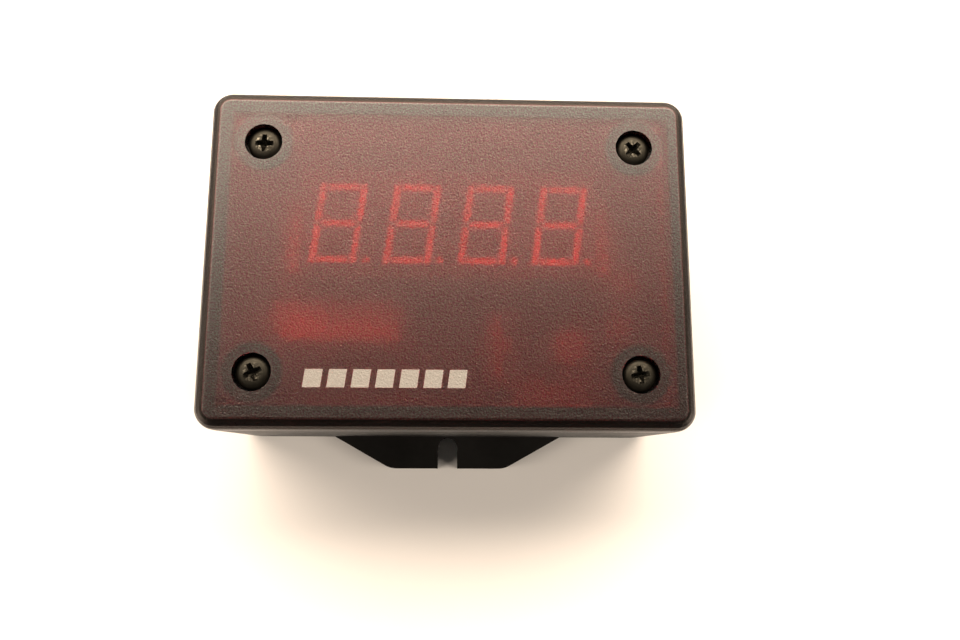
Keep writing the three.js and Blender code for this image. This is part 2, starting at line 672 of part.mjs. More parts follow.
// A tinned strip: a tongue through the cage that the wire is pressed up to, and a leg down to the board.
function contactStrip() {
  const shape = new THREE.Shape();
  const tip = -CLAMP.depth / 2;
  const back = clampBack + CONTACT.thickness;
  const top = contactTongueZ + CONTACT.thickness;
  shape.moveTo(tip, contactTongueZ);
  shape.lineTo(clampBack, contactTongueZ);
  shape.lineTo(clampBack, 0);
  shape.lineTo(back, 0);
  shape.lineTo(back, top);
  shape.lineTo(tip, top);
  const across = new THREE.Matrix4().makeBasis(
    new THREE.Vector3(0, 1, 0),
    new THREE.Vector3(0, 0, 1),
    new THREE.Vector3(1, 0, 0),
  );
  const strip = extruded(shape, CONTACT.width).applyMatrix4(across);
  return solid(strip.translate(-CONTACT.width / 2, 0, 0));
}

addPart("terminal_housing", terminalHousing(), "terminalGrey", 0, 0, mainBoardTop);
poles.forEach((x, i) => {
  addPart(`terminal_screw_${i + 1}`, clampScrew(), "steel", x, clampAxisY, mainBoardTop + clampScrewSeat);
  addPart(`terminal_clamp_${i + 1}`, clampCage(), "brass", x, clampAxisY, mainBoardTop + CLAMP.rest);
  addPart(`terminal_contact_${i + 1}`, contactStrip(), "tinned", x, clampAxisY, mainBoardTop);
});

// ---------------------------------------------------------------- regulator and heat sink

const regulatorFoot = mainBoardTop + REGULATOR.legs;
const tabHoleZ = regulatorFoot + REGULATOR.tabHeight - 2.9;

// A folded aluminium channel that opens towards +X, with a hole for the regulator's screw.
function heatSink() {
  const channel = cut(
    block(SINK.depth, SINK.width, SINK.height, SINK.depth / 2, 0, 0),
    block(SINK.depth, SINK.width - 2 * SINK.sheet, SINK.height + 2, SINK.depth / 2 + SINK.sheet, 0, -1),
  );
  const holeZ = tabHoleZ - mainBoardTop - SINK.stand;
  return cut(channel, rod(REGULATOR_SCREW.thread + HOLE_CLEARANCE, 3 * SINK.sheet, -SINK.sheet, 0, holeZ));
}

// A power package: tab against the sink, moulded body and three legs down to the board.
function regulator() {
  const { width, body, thickness, tab, tabHeight, legs } = REGULATOR;
  const plate = cut(
    block(tab, width, tabHeight, tab / 2, 0, 0),
    rod(REGULATOR_SCREW.thread + HOLE_CLEARANCE, 3 * tab, -tab, 0, tabHoleZ - regulatorFoot),
  );
  const legRow = [-PIN_PITCH, 0, PIN_PITCH].map((y) => block(0.5, 0.8, legs + 1, thickness - 1.9, y, -legs));
  return joined(plate, block(thickness, width, body, thickness / 2, 0, 0), ...legRow);
}

// The screw runs along -X through the tab and the sink.
addPart("heat_sink", heatSink(), "aluminium", sinkX, sinkY, mainBoardTop + SINK.stand);
addPart("regulator", regulator(), "chip", sinkInside + REGULATOR.gap, sinkY, regulatorFoot);
const tabFaceX = sinkInside + REGULATOR.gap + REGULATOR.tab;
const regulatorScrew = crossScrew({
  ...REGULATOR_SCREW,
  length: REGULATOR.tab + REGULATOR.gap + SINK.sheet + REGULATOR_SCREW_TAIL,
});
addPart("regulator_screw", regulatorScrew.rotate([0, 90, 0]), "steel", tabFaceX + SEAT_GAP, sinkY, tabHoleZ);

// ---------------------------------------------------------------- other parts of the main board

// A can with a rolled groove near its foot.
function capacitor() {
  const { radius, height } = CAPACITOR;
  return revolved([
    [0, 0],
    [radius - 0.3, 0],
    [radius, 0.3],
    [radius, 1.2],
    [radius - 0.35, 1.6],
    [radius, 2],
    [radius, height - 0.4],
    [radius - 0.4, height],
    [0, height],
  ]);
}

// A dual in-line package along X, with its bent legs on the board at z = 0.
function dualInLine(pins) {
  const { width, height, stand, row, lead, leadThickness } = DUAL_IN_LINE;
  const perSide = pins / 2;
  const length = perSide * PIN_PITCH;
  const shoulder = stand + height / 2;
  const inside = width / 2 - 0.4; // a leg's shoulder starts inside the moulding
  const outside = (row + leadThickness) / 2;
  const legs = [-1, 1].flatMap((side) =>
    Array.from({ length: perSide }, (_, i) => {
      const x = (i - (perSide - 1) / 2) * PIN_PITCH;
      const middleY = (side * (inside + outside)) / 2;
      return joined(
        block(lead, leadThickness, shoulder, x, (side * row) / 2, 0),
        block(lead, outside - inside, leadThickness, x, middleY, shoulder - leadThickness),
      );
    }),
  );
  return joined(block(length, width, height, 0, 0, stand), ...legs);
}

// A diode lying along Y, its leads bent down to the board.
function diode() {
  const { radius, length, lead, span, stand } = DIODE;
  const axisZ = radius + stand;
  const legY = span / 2 - lead;
  const along = (r, size) =>
    solid(new THREE.CylinderGeometry(r, r, size, SMALL_ROUND).translate(0, 0, axisZ));
  const legs = [-1, 1].map((side) => block(2 * lead, 2 * lead, axisZ + lead, 0, side * legY, 0));
  return joined(along(radius, length), along(lead, 2 * legY), ...legs);
}

// A push button's square body, with a round well for the stem.
function buttonBody() {
  const { size, height, stem, floor, clearance } = BUTTON;
  return cut(block(size, size, height), pillar(stem + clearance, height, 0, 0, floor, BUTTON_ROUND));
}

// What is pressed. It stands clear of the well's floor by its travel.
function buttonStem() {
  const { height, stem, stemHeight, floor, travel } = BUTTON;
  const foot = floor + travel + SEAT_GAP;
  return pillar(stem, height + stemHeight - foot, 0, 0, foot, BUTTON_ROUND);
}

// The trimmer's square body, with a round well for the rotor.
function trimmerBody() {
  const { size, height } = TRIMMER;
  const { radius, height: depth, clearance } = TRIMMER_ROTOR;
  return cut(block(size, size, height), pillar(radius + clearance, depth + 1, 0, 0, height - depth));
}

// The slotted disc that is turned. Its foot is at z = 0.
function trimmerRotor() {
  const { radius, slot, slotDepth } = TRIMMER_ROTOR;
  const height = TRIMMER_ROTOR.height - SEAT_GAP;
  return cut(pillar(radius, height), block(2 * radius - 0.8, slot, slotDepth + 1, 0, 0, height - slotDepth));
}

addPart("capacitor", capacitor(), "sleeve", capacitorX, boardLow + CAPACITOR.rise, mainBoardTop);
for (const [name, { x, y, pins }] of [["microcontroller", MICROCONTROLLER], ["led_driver", LED_DRIVER]]) {
  addPart(name, dualInLine(pins), "chip", x, y, mainBoardTop);
}
const network = block(RESISTOR_NETWORK.length, RESISTOR_NETWORK.width, RESISTOR_NETWORK.height);
addPart("resistor_network", network, "darkGrey", RESISTOR_NETWORK.x, RESISTOR_NETWORK.y, mainBoardTop);
addPart("reverse_diode", diode(), "chip", -postX, 0, mainBoardTop);
buttonRow.forEach((x, i) => {
  addPart(`set_button_body_${i + 1}`, buttonBody(), "chip", x, buttonY, mainBoardTop);
  addPart(`set_button_stem_${i + 1}`, buttonStem(), "darkGrey", x, buttonY, mainBoardTop);
});
addPart("trimmer_body", trimmerBody(), "trimmerBlue", postX, 0, mainBoardTop);
const rotorZ = mainBoardTop + TRIMMER.height - TRIMMER_ROTOR.height + SEAT_GAP;
addPart("trimmer_rotor", trimmerRotor(), "trimmerWhite", postX, 0, rotorZ);

export default meter;
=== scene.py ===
import math

import bmesh
import bpy
from mathutils import Matrix, Vector


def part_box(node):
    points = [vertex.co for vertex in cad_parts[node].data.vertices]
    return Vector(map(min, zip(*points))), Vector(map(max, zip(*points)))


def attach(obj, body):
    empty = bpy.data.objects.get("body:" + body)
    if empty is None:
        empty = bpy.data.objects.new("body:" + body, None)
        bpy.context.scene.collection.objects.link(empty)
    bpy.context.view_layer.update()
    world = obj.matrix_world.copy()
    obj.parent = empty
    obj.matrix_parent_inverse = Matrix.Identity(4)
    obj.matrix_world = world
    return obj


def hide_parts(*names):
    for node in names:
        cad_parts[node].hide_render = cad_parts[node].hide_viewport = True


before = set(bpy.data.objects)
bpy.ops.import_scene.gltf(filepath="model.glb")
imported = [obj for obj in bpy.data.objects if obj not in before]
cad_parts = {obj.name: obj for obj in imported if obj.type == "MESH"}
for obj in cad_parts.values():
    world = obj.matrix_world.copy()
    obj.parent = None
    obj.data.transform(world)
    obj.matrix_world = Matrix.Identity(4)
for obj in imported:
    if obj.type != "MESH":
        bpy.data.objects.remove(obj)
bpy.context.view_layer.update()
MM = 0.001

# ---------------------------------------------------------------- camera and studio

scene = bpy.context.scene
scene.view_settings.view_transform = "Standard"
scene.view_settings.look = "None"
scene.cycles.use_denoising = True
scene.cycles.max_bounces = 16
scene.cycles.transmission_bounces = 12
scene.cycles.caustics_refractive = True

FOCAL_LENGTH_MM = 31.0626  # solved from the case's edges, the flange, the screws and the digits
camera_data = bpy.data.cameras.new("camera")
camera_data.sensor_width = 36
camera_data.lens = FOCAL_LENGTH_MM
camera_data.clip_start = 0.005
camera_data.clip_end = 20
camera = bpy.data.objects.new("camera", camera_data)
scene.collection.objects.link(camera)
camera.matrix_world = Matrix(
    (
        (0.99932629, -0.00942800, -0.03546955, 0.00036104),
        (0.00272362, 0.98282775, -0.18450525, -0.03624537),
        (0.03659997, 0.18428434, 0.98219129, 0.16988776),
        (0, 0, 0, 1),
    )
)
scene.camera = camera


def lamp(name, place, aim, size, power, colour):
    data = bpy.data.lights.new(name, "AREA")
    data.shape = "RECTANGLE"
    data.size, data.size_y = size
    data.energy = power
    data.color = colour
    made = bpy.data.objects.new(name, data)
    made.location = place
    made.rotation_mode = "QUATERNION"
    made.rotation_quaternion = (Vector(aim) - Vector(place)).to_track_quat("-Z", "Y")
    scene.collection.objects.link(made)


WINDOW_LIGHT = (1.0, 0.81, 0.64)
SIDE_LIGHT = (1.0, 0.85, 0.70)
WINDOW_AIM = (0, 0.02, 0.02)
lamp("window", (-0.04, 0.44, 0.55), WINDOW_AIM, (1.8, 0.42), 21, WINDOW_LIGHT)
lamp("far_window", (0, 0.75, 0.50), WINDOW_AIM, (1.5, 0.5), 7, WINDOW_LIGHT)
for side in (-1, 1):
    lamp(
        f"side_{side + 1}", (side * 0.85, -0.30, 0.40), (0, -0.03, 0.02), (0.5, 0.4), 6.5, SIDE_LIGHT
    )

world = bpy.data.worlds.new("world")
scene.world = world
world.use_nodes = True


def world_shade():
    """Pale towards the horizon, darker overhead and on the viewer's side, as in a lit room."""
    tree = world.node_tree
    place = tree.nodes.new("ShaderNodeTexCoord")
    axes = tree.nodes.new("ShaderNodeSeparateXYZ")
    tree.links.new(place.outputs["Generated"], axes.inputs[0])
    ramp = tree.nodes.new("ShaderNodeValToRGB")
    tree.links.new(axes.outputs["Z"], ramp.inputs[0])
    stops = ramp.color_ramp.elements
    stops[0].position, stops[0].color = 0.15, (0.95, 0.88, 0.80, 1)
    stops[1].position, stops[1].color = 0.6, (0.04, 0.035, 0.03, 1)
    tree.links.new(ramp.outputs[0], tree.nodes["Background"].inputs["Color"])
    side = tree.nodes.new("ShaderNodeMapRange")
    for key, value in (("From Min", -0.7), ("From Max", 0.5), ("To Min", 0.35), ("To Max", 0.9)):
        side.inputs[key].default_value = value
    tree.links.new(axes.outputs["Y"], side.inputs["Value"])
    tree.links.new(side.outputs["Result"], tree.nodes["Background"].inputs["Strength"])


world_shade()

# ---------------------------------------------------------------- node helpers


class Shader:
    """A node material with one Principled shader, and short calls for the nodes that feed it.
    Sizes are in millimetres where a name says so, and in metres elsewhere."""

    def __init__(self, name):
        self.material = bpy.data.materials.new(name)
        self.material.use_nodes = True
        self.tree = self.material.node_tree
        self.surface = self.tree.nodes["Principled BSDF"]
        self.place = self.add("ShaderNodeTexCoord").outputs["Object"]

    def add(self, kind, inputs=None, **settings):
        made = self.tree.nodes.new(kind)
        for key, value in settings.items():
            setattr(made, key, value)
        for key, value in (inputs or {}).items():
            self.feed(made.inputs[key], value)
        return made

    def feed(self, socket, value):
        if isinstance(value, bpy.types.NodeSocket):
            self.tree.links.new(value, socket)
        else:
            socket.default_value = value

    def set(self, **values):
        for key, value in values.items():
            self.feed(self.surface.inputs[key.replace("_", " ").title().replace("Ior", "IOR")], value)
        return self

    def maths(self, operation, a, b=0.0):
        made = self.add("ShaderNodeMath", operation=operation)
        for socket, value in zip(made.inputs, (a, b)):
            self.feed(socket, value)
        return made.outputs[0]

    def times(self, first, *others):
        for other in others:
            first = self.maths("MULTIPLY", first, other)
        return first

    def plus(self, a, b):
        return self.maths("ADD", a, b)

    def less(self, a, b):
        return self.maths("SUBTRACT", a, b)

    def either(self, a, b):
        return self.maths("MAXIMUM", a, b)

    def noise(self, size_mm, detail=3.0, rough=0.5, place=None):
        made = self.add(
            "ShaderNodeTexNoise",
            {
                "Vector": place or self.place,
                "Scale": 1 / (size_mm * MM),
                "Detail": detail,
                "Roughness": rough,
            },
        )
        return made.outputs["Fac"]

    def cells(self, size_mm):
        made = self.add("ShaderNodeTexVoronoi", {"Vector": self.place, "Scale": 1 / (size_mm * MM)})
        return made.outputs["Distance"]

    def span(self, value, low, high, to_low=0.0, to_high=1.0):
        made = self.add(
            "ShaderNodeMapRange",
            {"Value": value, "From Min": low, "From Max": high, "To Min": to_low, "To Max": to_high},
        )
        return made.outputs["Result"]

    def mix(self, share, a, b):
        made = self.add("ShaderNodeMix", data_type="RGBA")
        self.feed(made.inputs[0], share)
        for socket, value in ((made.inputs[6], a), (made.inputs[7], b)):
            self.feed(socket, value if isinstance(value, bpy.types.NodeSocket) else (*value, 1))
        return made.outputs[2]

    def bump(self, height, strength, distance_mm):
        inputs = {"Height": height, "Strength": strength, "Distance": distance_mm * MM}
        return self.add("ShaderNodeBump", inputs).outputs["Normal"]

    def axes(self):
        return self.add("ShaderNodeSeparateXYZ", {"Vector": self.place}).outputs

    def inside(self, value, low_mm, high_mm, soft_mm=0.02):
        """1 where value, in metres, is between two limits."""
        above = self.span(value, (low_mm - soft_mm) * MM, (low_mm + soft_mm) * MM)
        below = self.span(value, (high_mm - soft_mm) * MM, (high_mm + soft_mm) * MM, 1.0, 0.0)
        return self.times(above, below)

    def ring_distance(self, x_mm, y_mm):
        """Distance from an upright axis, in metres."""
        x, y, _ = self.axes()
        dx = self.less(x, x_mm * MM)
        dy = self.less(y, y_mm * MM)
        return self.maths("SQRT", self.plus(self.times(dx, dx), self.times(dy, dy)))


def scaled(colour, share):
    return tuple(c * share for c in colour)


def moulding(
    name, colour, rough=0.5, grain=0.35, depth=0.02, spread=0.15, patch=9.0, coat=0.0, gloss=0.5
):
    """Plastic or rubber with a fine grain, and slow changes of colour and gloss."""
    s = Shader(name)
    slow = s.noise(patch, 4.0, 0.6)
    fine = s.noise(grain, 2.0, 0.6)
    low, high = scaled(colour, 1 - spread), scaled(colour, 1 + spread)
    gloss_patches = s.span(slow, 0.3, 0.7, rough - 0.05, rough + 0.05)
    s.set(
        base_color=s.mix(s.span(slow, 0.3, 0.7), low, high),
        roughness=s.plus(gloss_patches, s.span(fine, 0.3, 0.7, -0.04, 0.04)),
        normal=s.bump(fine, 0.5, depth),
        coat_weight=coat,
        specular_ior_level=gloss,
    )
    return s


def plated(name, colour, rough=0.3, scratch=0.6, tarnish=(0.5, 0.48, 0.44), share=0.25):
    """Bare or plated metal with fine scratches and dull patches."""
    s = Shader(name)
    dull = s.span(s.noise(1.6, 4.0, 0.65), 0.5, 0.75)
    stretched = s.add("ShaderNodeMapping", {"Vector": s.place, "Scale": (1, 14, 1)}).outputs["Vector"]
    lines = s.noise(scratch, 3.0, 0.7, place=stretched)
    tarnished = tuple(a * b for a, b in zip(colour, tarnish))
    s.set(
        base_color=s.mix(s.times(dull, share), colour, tarnished),
        metallic=1.0,
        roughness=s.plus(s.span(dull, 0, 1, rough, rough + 0.15), s.span(lines, 0.3, 0.7, -0.05, 0.08)),
        normal=s.bump(lines, 0.25, 0.01),
    )
    return s


# ---------------------------------------------------------------- places

cover_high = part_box("front_cover")[1]
case_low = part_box("rear_case")[0]
screw_centres = []
for index in range(1, 5):
    low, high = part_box(f"cover_screw_{index}")
    screw_centres.append((low + high) / 2)
FACE_Z = cover_high.z

# ---------------------------------------------------------------- materials


# The cover's zones, in millimetres from its edges, its screws and its front face.
# Widths of the rim and screw pad zones, where the cover's tint is darkened as painted shade for the
# dark case wall and bosses behind.
RIM_SHADE_WIDTH = 3.9
RIM_SHADE_WIDTH_RIGHT = 3.3
PAD_SHADE_RADIUS = 5.0
SOFT_EDGE = 0.25
SIDE_DEPTH = 2.1
BORE_RADIUS = 3.3
LIP_INSET = 2.6
LIP_INSET_RIGHT = 4.5
WINDOW_THICKNESS = 2.6

# The printed row of bars on the cover, in millimetres.
PRINT_MIDDLE = (-10.3, -20.75)
PRINT_SIZE = (26.5, 3.0)
PRINT_LEAN = 0.128
PRINT_BARS = 7
PRINT_PITCH = PRINT_SIZE[0] / (PRINT_BARS - 0.26)
PRINT_SHARE = 0.76

TINT_LOW, TINT_HIGH = (0.60, 0.013, 0.042), (0.68, 0.018, 0.054)
# Painted shade: a darker tint over the rim and screw pads.
TINT_RIM_AND_PAD_SHADE = (0.17, 0.004, 0.007)
# Painted shade: the rounded edge is dark brown and partly metallic, which cuts its reflection to a dull
# dark band.
TINT_EDGE_SHADE_PAINT = (0.016, 0.0115, 0.009)
# Painted shade: near black on the lip's inner face and the counterbore walls.
TINT_WALL_SHADE_PAINT = (0.0006, 0.0002, 0.0002)
# Painted glints: paler specks on the real grain. Over the rim and pads they are darker, as painted
# shade there too.
SPECK_GLINT_RIM_SHADE, SPECK_GLINT_MIDDLE = (0.30, 0.10, 0.07), (0.78, 0.14, 0.11)
INK_LOW, INK_HIGH = (0.20, 0.195, 0.18), (0.245, 0.235, 0.22)


def printed_bars(s, x, y, front):
    """1 on the cream bars printed on the front."""
    lean = s.less(x, s.times(s.less(y, PRINT_MIDDLE[1] * MM), PRINT_LEAN))
    start = (PRINT_MIDDLE[0] - PRINT_SIZE[0] / 2) * MM
    along = s.maths("DIVIDE", s.less(lean, start), PRINT_PITCH * MM)
    step = s.maths("FRACT", along)
    bar = s.times(s.span(step, 0.02, 0.03), s.span(step, PRINT_SHARE, PRINT_SHARE + 0.01, 1, 0))
    row = s.times(s.span(along, 0, 0.005), s.span(along, PRINT_BARS, PRINT_BARS + 0.005, 1, 0))
    half = PRINT_SIZE[1] / 2
    high = s.inside(y, PRINT_MIDDLE[1] - half, PRINT_MIDDLE[1] + half)
    worn = s.span(s.noise(0.35, 3, 0.7), 0.26, 0.34)
    return s.times(s.times(bar, row), s.times(high, front), worn)


def window_material():
    """Translucent dark red cover with a spark-eroded front and a printed row of slanted bars.
    Its rim and its screw pads get a darker tint, painted shade for the dark case wall and bosses behind
    them."""
    s = Shader("window_red")
    x, y, z = s.axes()
    grain = s.noise(0.30, 2.0, 0.7)
    pits = s.cells(0.34)
    slow = s.noise(14, 3.0, 0.55)
    front = s.span(z, FACE_Z - 0.08 * MM, FACE_Z - 0.04 * MM)
    ink = printed_bars(s, x, y, front)

    half_x = cover_high.x / MM
    half_y = cover_high.y / MM
    sides = []
    for value, half in ((x, half_x), (y, half_y)):
        edge = (half - SIDE_DEPTH) * MM
        sides.append(s.span(s.maths("ABSOLUTE", value), edge - 0.1 * MM, edge))
    outside = s.either(front, s.either(*sides))
    speck = s.times(s.span(s.noise(0.33, 1.5, 0.6), 0.44, 0.64), front)
    # The rounded edge, painted dark as shade.
    painted_edge_shade = s.less(outside, front)
    # clear is 1 on the middle of the window and 0 on the rim and screw pads, which get painted shade.
    clear = s.times(
        s.inside(x, -half_x + RIM_SHADE_WIDTH, half_x - RIM_SHADE_WIDTH_RIGHT, SOFT_EDGE),
        s.inside(y, -half_y + RIM_SHADE_WIDTH, half_y - RIM_SHADE_WIDTH, SOFT_EDGE),
    )
    bore = 0.0
    for centre in screw_centres:
        away = s.ring_distance(centre.x / MM, centre.y / MM)
        clear = s.times(clear, s.span(away, (PAD_SHADE_RADIUS - 0.4) * MM, (PAD_SHADE_RADIUS + 0.4) * MM))
        bore = s.either(bore, s.span(away, BORE_RADIUS * MM, (BORE_RADIUS + 0.05) * MM, 1, 0))
    lip = s.times(
        s.inside(x, -half_x + LIP_INSET, half_x - LIP_INSET_RIGHT, 0.05),
        s.inside(y, -half_y + LIP_INSET, half_y - LIP_INSET, 0.05),
    )
    inner_face = FACE_Z - WINDOW_THICKNESS * MM
    lip = s.times(lip, s.span(z, inner_face - 0.02 * MM, inner_face + 0.02 * MM, 1, 0))
    below_front = s.span(z, FACE_Z - 0.2 * MM, FACE_Z - 0.1 * MM, 1, 0)
    # The lip's inner face and the counterbore walls, painted near black as shade.
    painted_wall_shade = s.either(lip, s.times(bore, below_front))

    tint = s.mix(s.span(slow, 0.35, 0.65), TINT_LOW, TINT_HIGH)
    # Painted shade: a darker tint over the rim and screw pads.
    tint = s.mix(clear, TINT_RIM_AND_PAD_SHADE, tint)
    # Painted shade: dark brown on the rounded edge.
    tint = s.mix(painted_edge_shade, tint, TINT_EDGE_SHADE_PAINT)
    # Painted shade: near black on the lip and counterbore walls.
    tint = s.mix(painted_wall_shade, tint, TINT_WALL_SHADE_PAINT)
    # The grain's specks are paler, as painted glints of their facets. They are darker over the rim and
    # pads, as painted shade.
    tint = s.mix(s.times(speck, 0.35), tint, s.mix(clear, SPECK_GLINT_RIM_SHADE, SPECK_GLINT_MIDDLE))
    dips = s.plus(s.times(grain, 0.8), s.times(pits, 0.3))
    speck_gloss = s.times(speck, s.span(clear, 0, 1, 0.25, 0.6))
    rim_gloss = s.times(front, s.span(clear, 0, 1, 0.4, 0.0))
    s.set(
        base_color=s.mix(ink, tint, s.mix(s.noise(0.6), INK_LOW, INK_HIGH)),
        # The specks let a little less light through, so their painted glint shows.
        transmission_weight=s.times(s.less(1.0, ink), s.less(1.0, s.times(speck, 0.06))),
        roughness=s.plus(s.span(outside, 0, 1, 0.24, 0.32), s.span(grain, 0.3, 0.7, -0.05, 0.07)),
        # Partly metallic on the rounded edge to cut its reflection: painted shade.
        metallic=s.times(painted_edge_shade, 0.7),
        ior=1.49,
        coat_weight=s.plus(speck_gloss, rim_gloss),
        coat_roughness=0.32,
        normal=s.bump(dips, s.span(outside, 0, 1, 0.1, 1.0), 0.08),
    )
    return s.material


abs_black = moulding("abs_black", (0.0040, 0.0036, 0.0032), 0.46, 0.4, 0.03, 0.2, 16, gloss=0.34)
digit_face = moulding("digit_face", (0.035, 0.03, 0.03), 0.6, 0.2, 0.01, 0.1, 5)
digit_resin = moulding("digit_resin", (0.70, 0.46, 0.52), 0.35, 0.25, 0.006, 0.05, 3)
rubber = moulding("rubber_black", (0.012, 0.012, 0.012), 0.8, 0.3, 0.03, 0.3, 3)
moulded_black = moulding("moulded_black", (0.018, 0.018, 0.018), 0.55, 0.15, 0.012, 0.15, 4)
terminal_grey = moulding("terminal_grey", (0.72, 0.72, 0.68), 0.42, 0.3, 0.01, 0.06, 4)
coat_brown = moulding("coat_brown", (0.03, 0.022, 0.016), 0.25, 1.2, 0.03, 0.2, 4)
button_grey = moulding("button_grey", (0.05, 0.048, 0.048), 0.5, 0.2, 0.01, 0.1, 2)
trimmer_blue = moulding("trimmer_blue", (0.02, 0.10, 0.40), 0.35, 0.3, 0.008, 0.08, 3)
trimmer_white = moulding("trimmer_white", (0.72, 0.70, 0.62), 0.4, 0.3, 0.008, 0.05, 2)
steel = plated("steel_plated", (0.72, 0.71, 0.68), 0.28)
steel_dull = plated("steel_dull", (0.20, 0.20, 0.19), 0.55)
zinc = plated("zinc", (0.90, 0.90, 0.88), 0.5)
tinned = plated("tinned", (0.78, 0.77, 0.73), 0.25)
brass = plated("brass", (0.80, 0.58, 0.24), 0.28)
aluminium = plated("aluminium", (0.25, 0.25, 0.255), 0.5)
black_oxide = plated("black_oxide", (0.055, 0.05, 0.045), 0.38, 0.5, (0.6, 0.55, 0.5), 0.5)


def oxide_screw_material():
    """Black oxide that has worn to bare steel round the recess."""
    s = Shader("screw_black")
    away = s.ring_distance(0, 0)
    _, _, z = s.axes()
    rubbed = s.span(s.noise(0.5, 4, 0.7), 0.5, 0.64)
    near = s.span(away, 1.2 * MM, 1.75 * MM, 1, 0)
    wear = s.times(near, s.span(z, 0.6 * MM, 1.1 * MM), rubbed)
    fine = s.noise(0.22, 3, 0.6)
    oxide = s.mix(s.noise(1.2, 4, 0.6), (0.018, 0.017, 0.0135), (0.040, 0.038, 0.031))
    s.set(
        base_color=s.mix(wear, oxide, (0.24, 0.23, 0.19)),
        metallic=1.0,
        roughness=s.plus(s.span(wear, 0, 1, 0.48, 0.28), s.span(fine, 0.3, 0.7, -0.06, 0.08)),
        normal=s.bump(fine, 0.5, 0.012),
    )
    return s.material


def solder_material():
    """Bright solder with soft ripples."""
    s = Shader("solder")
    fine = s.noise(0.5, 3, 0.6)
    patches = s.span(s.noise(1.1, 3, 0.6), 0.35, 0.7)
    s.set(
        base_color=s.mix(patches, (0.62, 0.61, 0.58), (0.74, 0.73, 0.70)),
        metallic=1.0,
        roughness=s.span(fine, 0.3, 0.7, 0.18, 0.36),
        normal=s.bump(fine, 0.4, 0.02),
    )
    return s.material


def sleeve_material():
    """A dark blue shrunk sleeve with one pale stripe down its side."""
    s = Shader("sleeve_blue")
    low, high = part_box("capacitor")
    mid = (low + high) / 2
    x, y, z = s.axes()
    facing = s.span(x, mid.x - 0.1 * MM, mid.x, 1, 0)
    stripe = s.times(s.inside(s.less(y, mid.y), -1.3, 1.3, 0.05), facing)
    stripe = s.times(stripe, s.span(z, high.z - 0.35 * MM, high.z - 0.3 * MM, 1, 0))
    ripple = s.noise(0.9, 3, 0.6)
    blue = s.mix(s.noise(3.0, 3, 0.5), (0.009, 0.016, 0.075), (0.014, 0.024, 0.11))
    s.set(
        base_color=s.mix(stripe, blue, (0.46, 0.50, 0.55)),
        roughness=s.span(ripple, 0.3, 0.7, 0.22, 0.34),
        normal=s.bump(ripple, 0.35, 0.02),
        coat_weight=0.3,
    )
    return s.material


def regulator_material():
    """Black moulding on a tinned copper tab and legs."""
    s = Shader("regulator_mixed")
    low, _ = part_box("regulator")
    x, _, z = s.axes()
    foot, body_top = low.z + 3.0 * MM, low.z + 12.2 * MM
    moulded = s.times(
        s.inside(z, foot / MM, body_top / MM, 0.02), s.span(x, low.x + 1.25 * MM, low.x + 1.3 * MM)
    )
    fine = s.noise(0.3, 3, 0.6)
    metal = s.mix(s.noise(1.5, 3, 0.6), (0.16, 0.158, 0.152), (0.24, 0.237, 0.23))
    black = s.mix(fine, (0.014, 0.014, 0.014), (0.024, 0.024, 0.023))
    s.set(
        base_color=s.mix(moulded, metal, black),
        metallic=s.less(1.0, moulded),
        roughness=s.plus(s.span(moulded, 0, 1, 0.45, 0.55), s.span(fine, 0.3, 0.7, -0.05, 0.05)),
        normal=s.bump(fine, 0.4, 0.012),
    )
    return s.material


def diode_material():
    """Black body with a silver band at one end, and tinned leads."""
    s = Shader("diode_mixed")
    low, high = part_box("reverse_diode")
    mid = (low + high) / 2
    along = s.less(s.axes()[1], mid.y)
    lead = s.span(s.maths("ABSOLUTE", along), 2.6 * MM, 2.61 * MM)
    band = s.inside(along, 1.3, 1.95, 0.03)
    fine = s.noise(0.3, 3, 0.6)
    black = s.mix(fine, (0.015, 0.015, 0.015), (0.026, 0.026, 0.025))
    s.set(
        base_color=s.mix(lead, s.mix(band, black, (0.48, 0.48, 0.47)), (0.70, 0.69, 0.66)),
        metallic=lead,
        roughness=s.plus(s.span(lead, 0, 1, 0.5, 0.26), s.span(fine, 0.3, 0.7, -0.05, 0.05)),
        normal=s.bump(fine, 0.4, 0.012),
    )
    return s.material


WEAVE_PITCH = 1.1


def board_material(name):
    """Green solder mask over a woven laminate whose bare edges show yellowish."""
    s = Shader(name)
    low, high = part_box(name)
    settings = {"Vector": s.place, "Scale": 0.5 / (WEAVE_PITCH * MM), "Distortion": 0.6}
    weave = s.times(
        *(s.add("ShaderNodeTexWave", settings, bands_direction=axis).outputs["Fac"] for axis in "XY")
    )
    slow = s.noise(7, 3, 0.5)
    edge = s.inside(s.axes()[2], low.z / MM + 0.08, high.z / MM - 0.08, 0.02)
    share = s.plus(s.times(weave, 0.25), s.span(slow, 0.3, 0.7, 0, 0.75))
    mask = s.mix(share, (0.009, 0.080, 0.028), (0.016, 0.125, 0.044))
    laminate = s.mix(s.noise(0.5), (0.20, 0.19, 0.08), (0.30, 0.28, 0.13))
    s.set(
        base_color=s.mix(edge, mask, laminate),
        roughness=s.plus(s.span(edge, 0, 1, 0.26, 0.7), s.span(slow, 0.3, 0.7, -0.04, 0.06)),
        normal=s.bump(weave, 0.25, 0.012),
        coat_weight=0.25,
    )
    return s.material


screw_black = oxide_screw_material()
sink_black = plated("sink_black", (0.075, 0.075, 0.078), 0.42, 0.5, (1.6, 1.6, 1.6), 0.4)
solder = solder_material()
sleeve_blue = sleeve_material()
track_green = moulding("track_green", (0.022, 0.17, 0.062), 0.26, 0.6, 0.01, 0.08, 5, 0.25)
legend_white = moulding("legend_white", (0.62, 0.63, 0.60), 0.5, 0.2, 0.01, 0.08, 2)
chip_black = moulding("chip_black", (0.017, 0.017, 0.0165), 0.58, 0.14, 0.014, 0.12, 3)

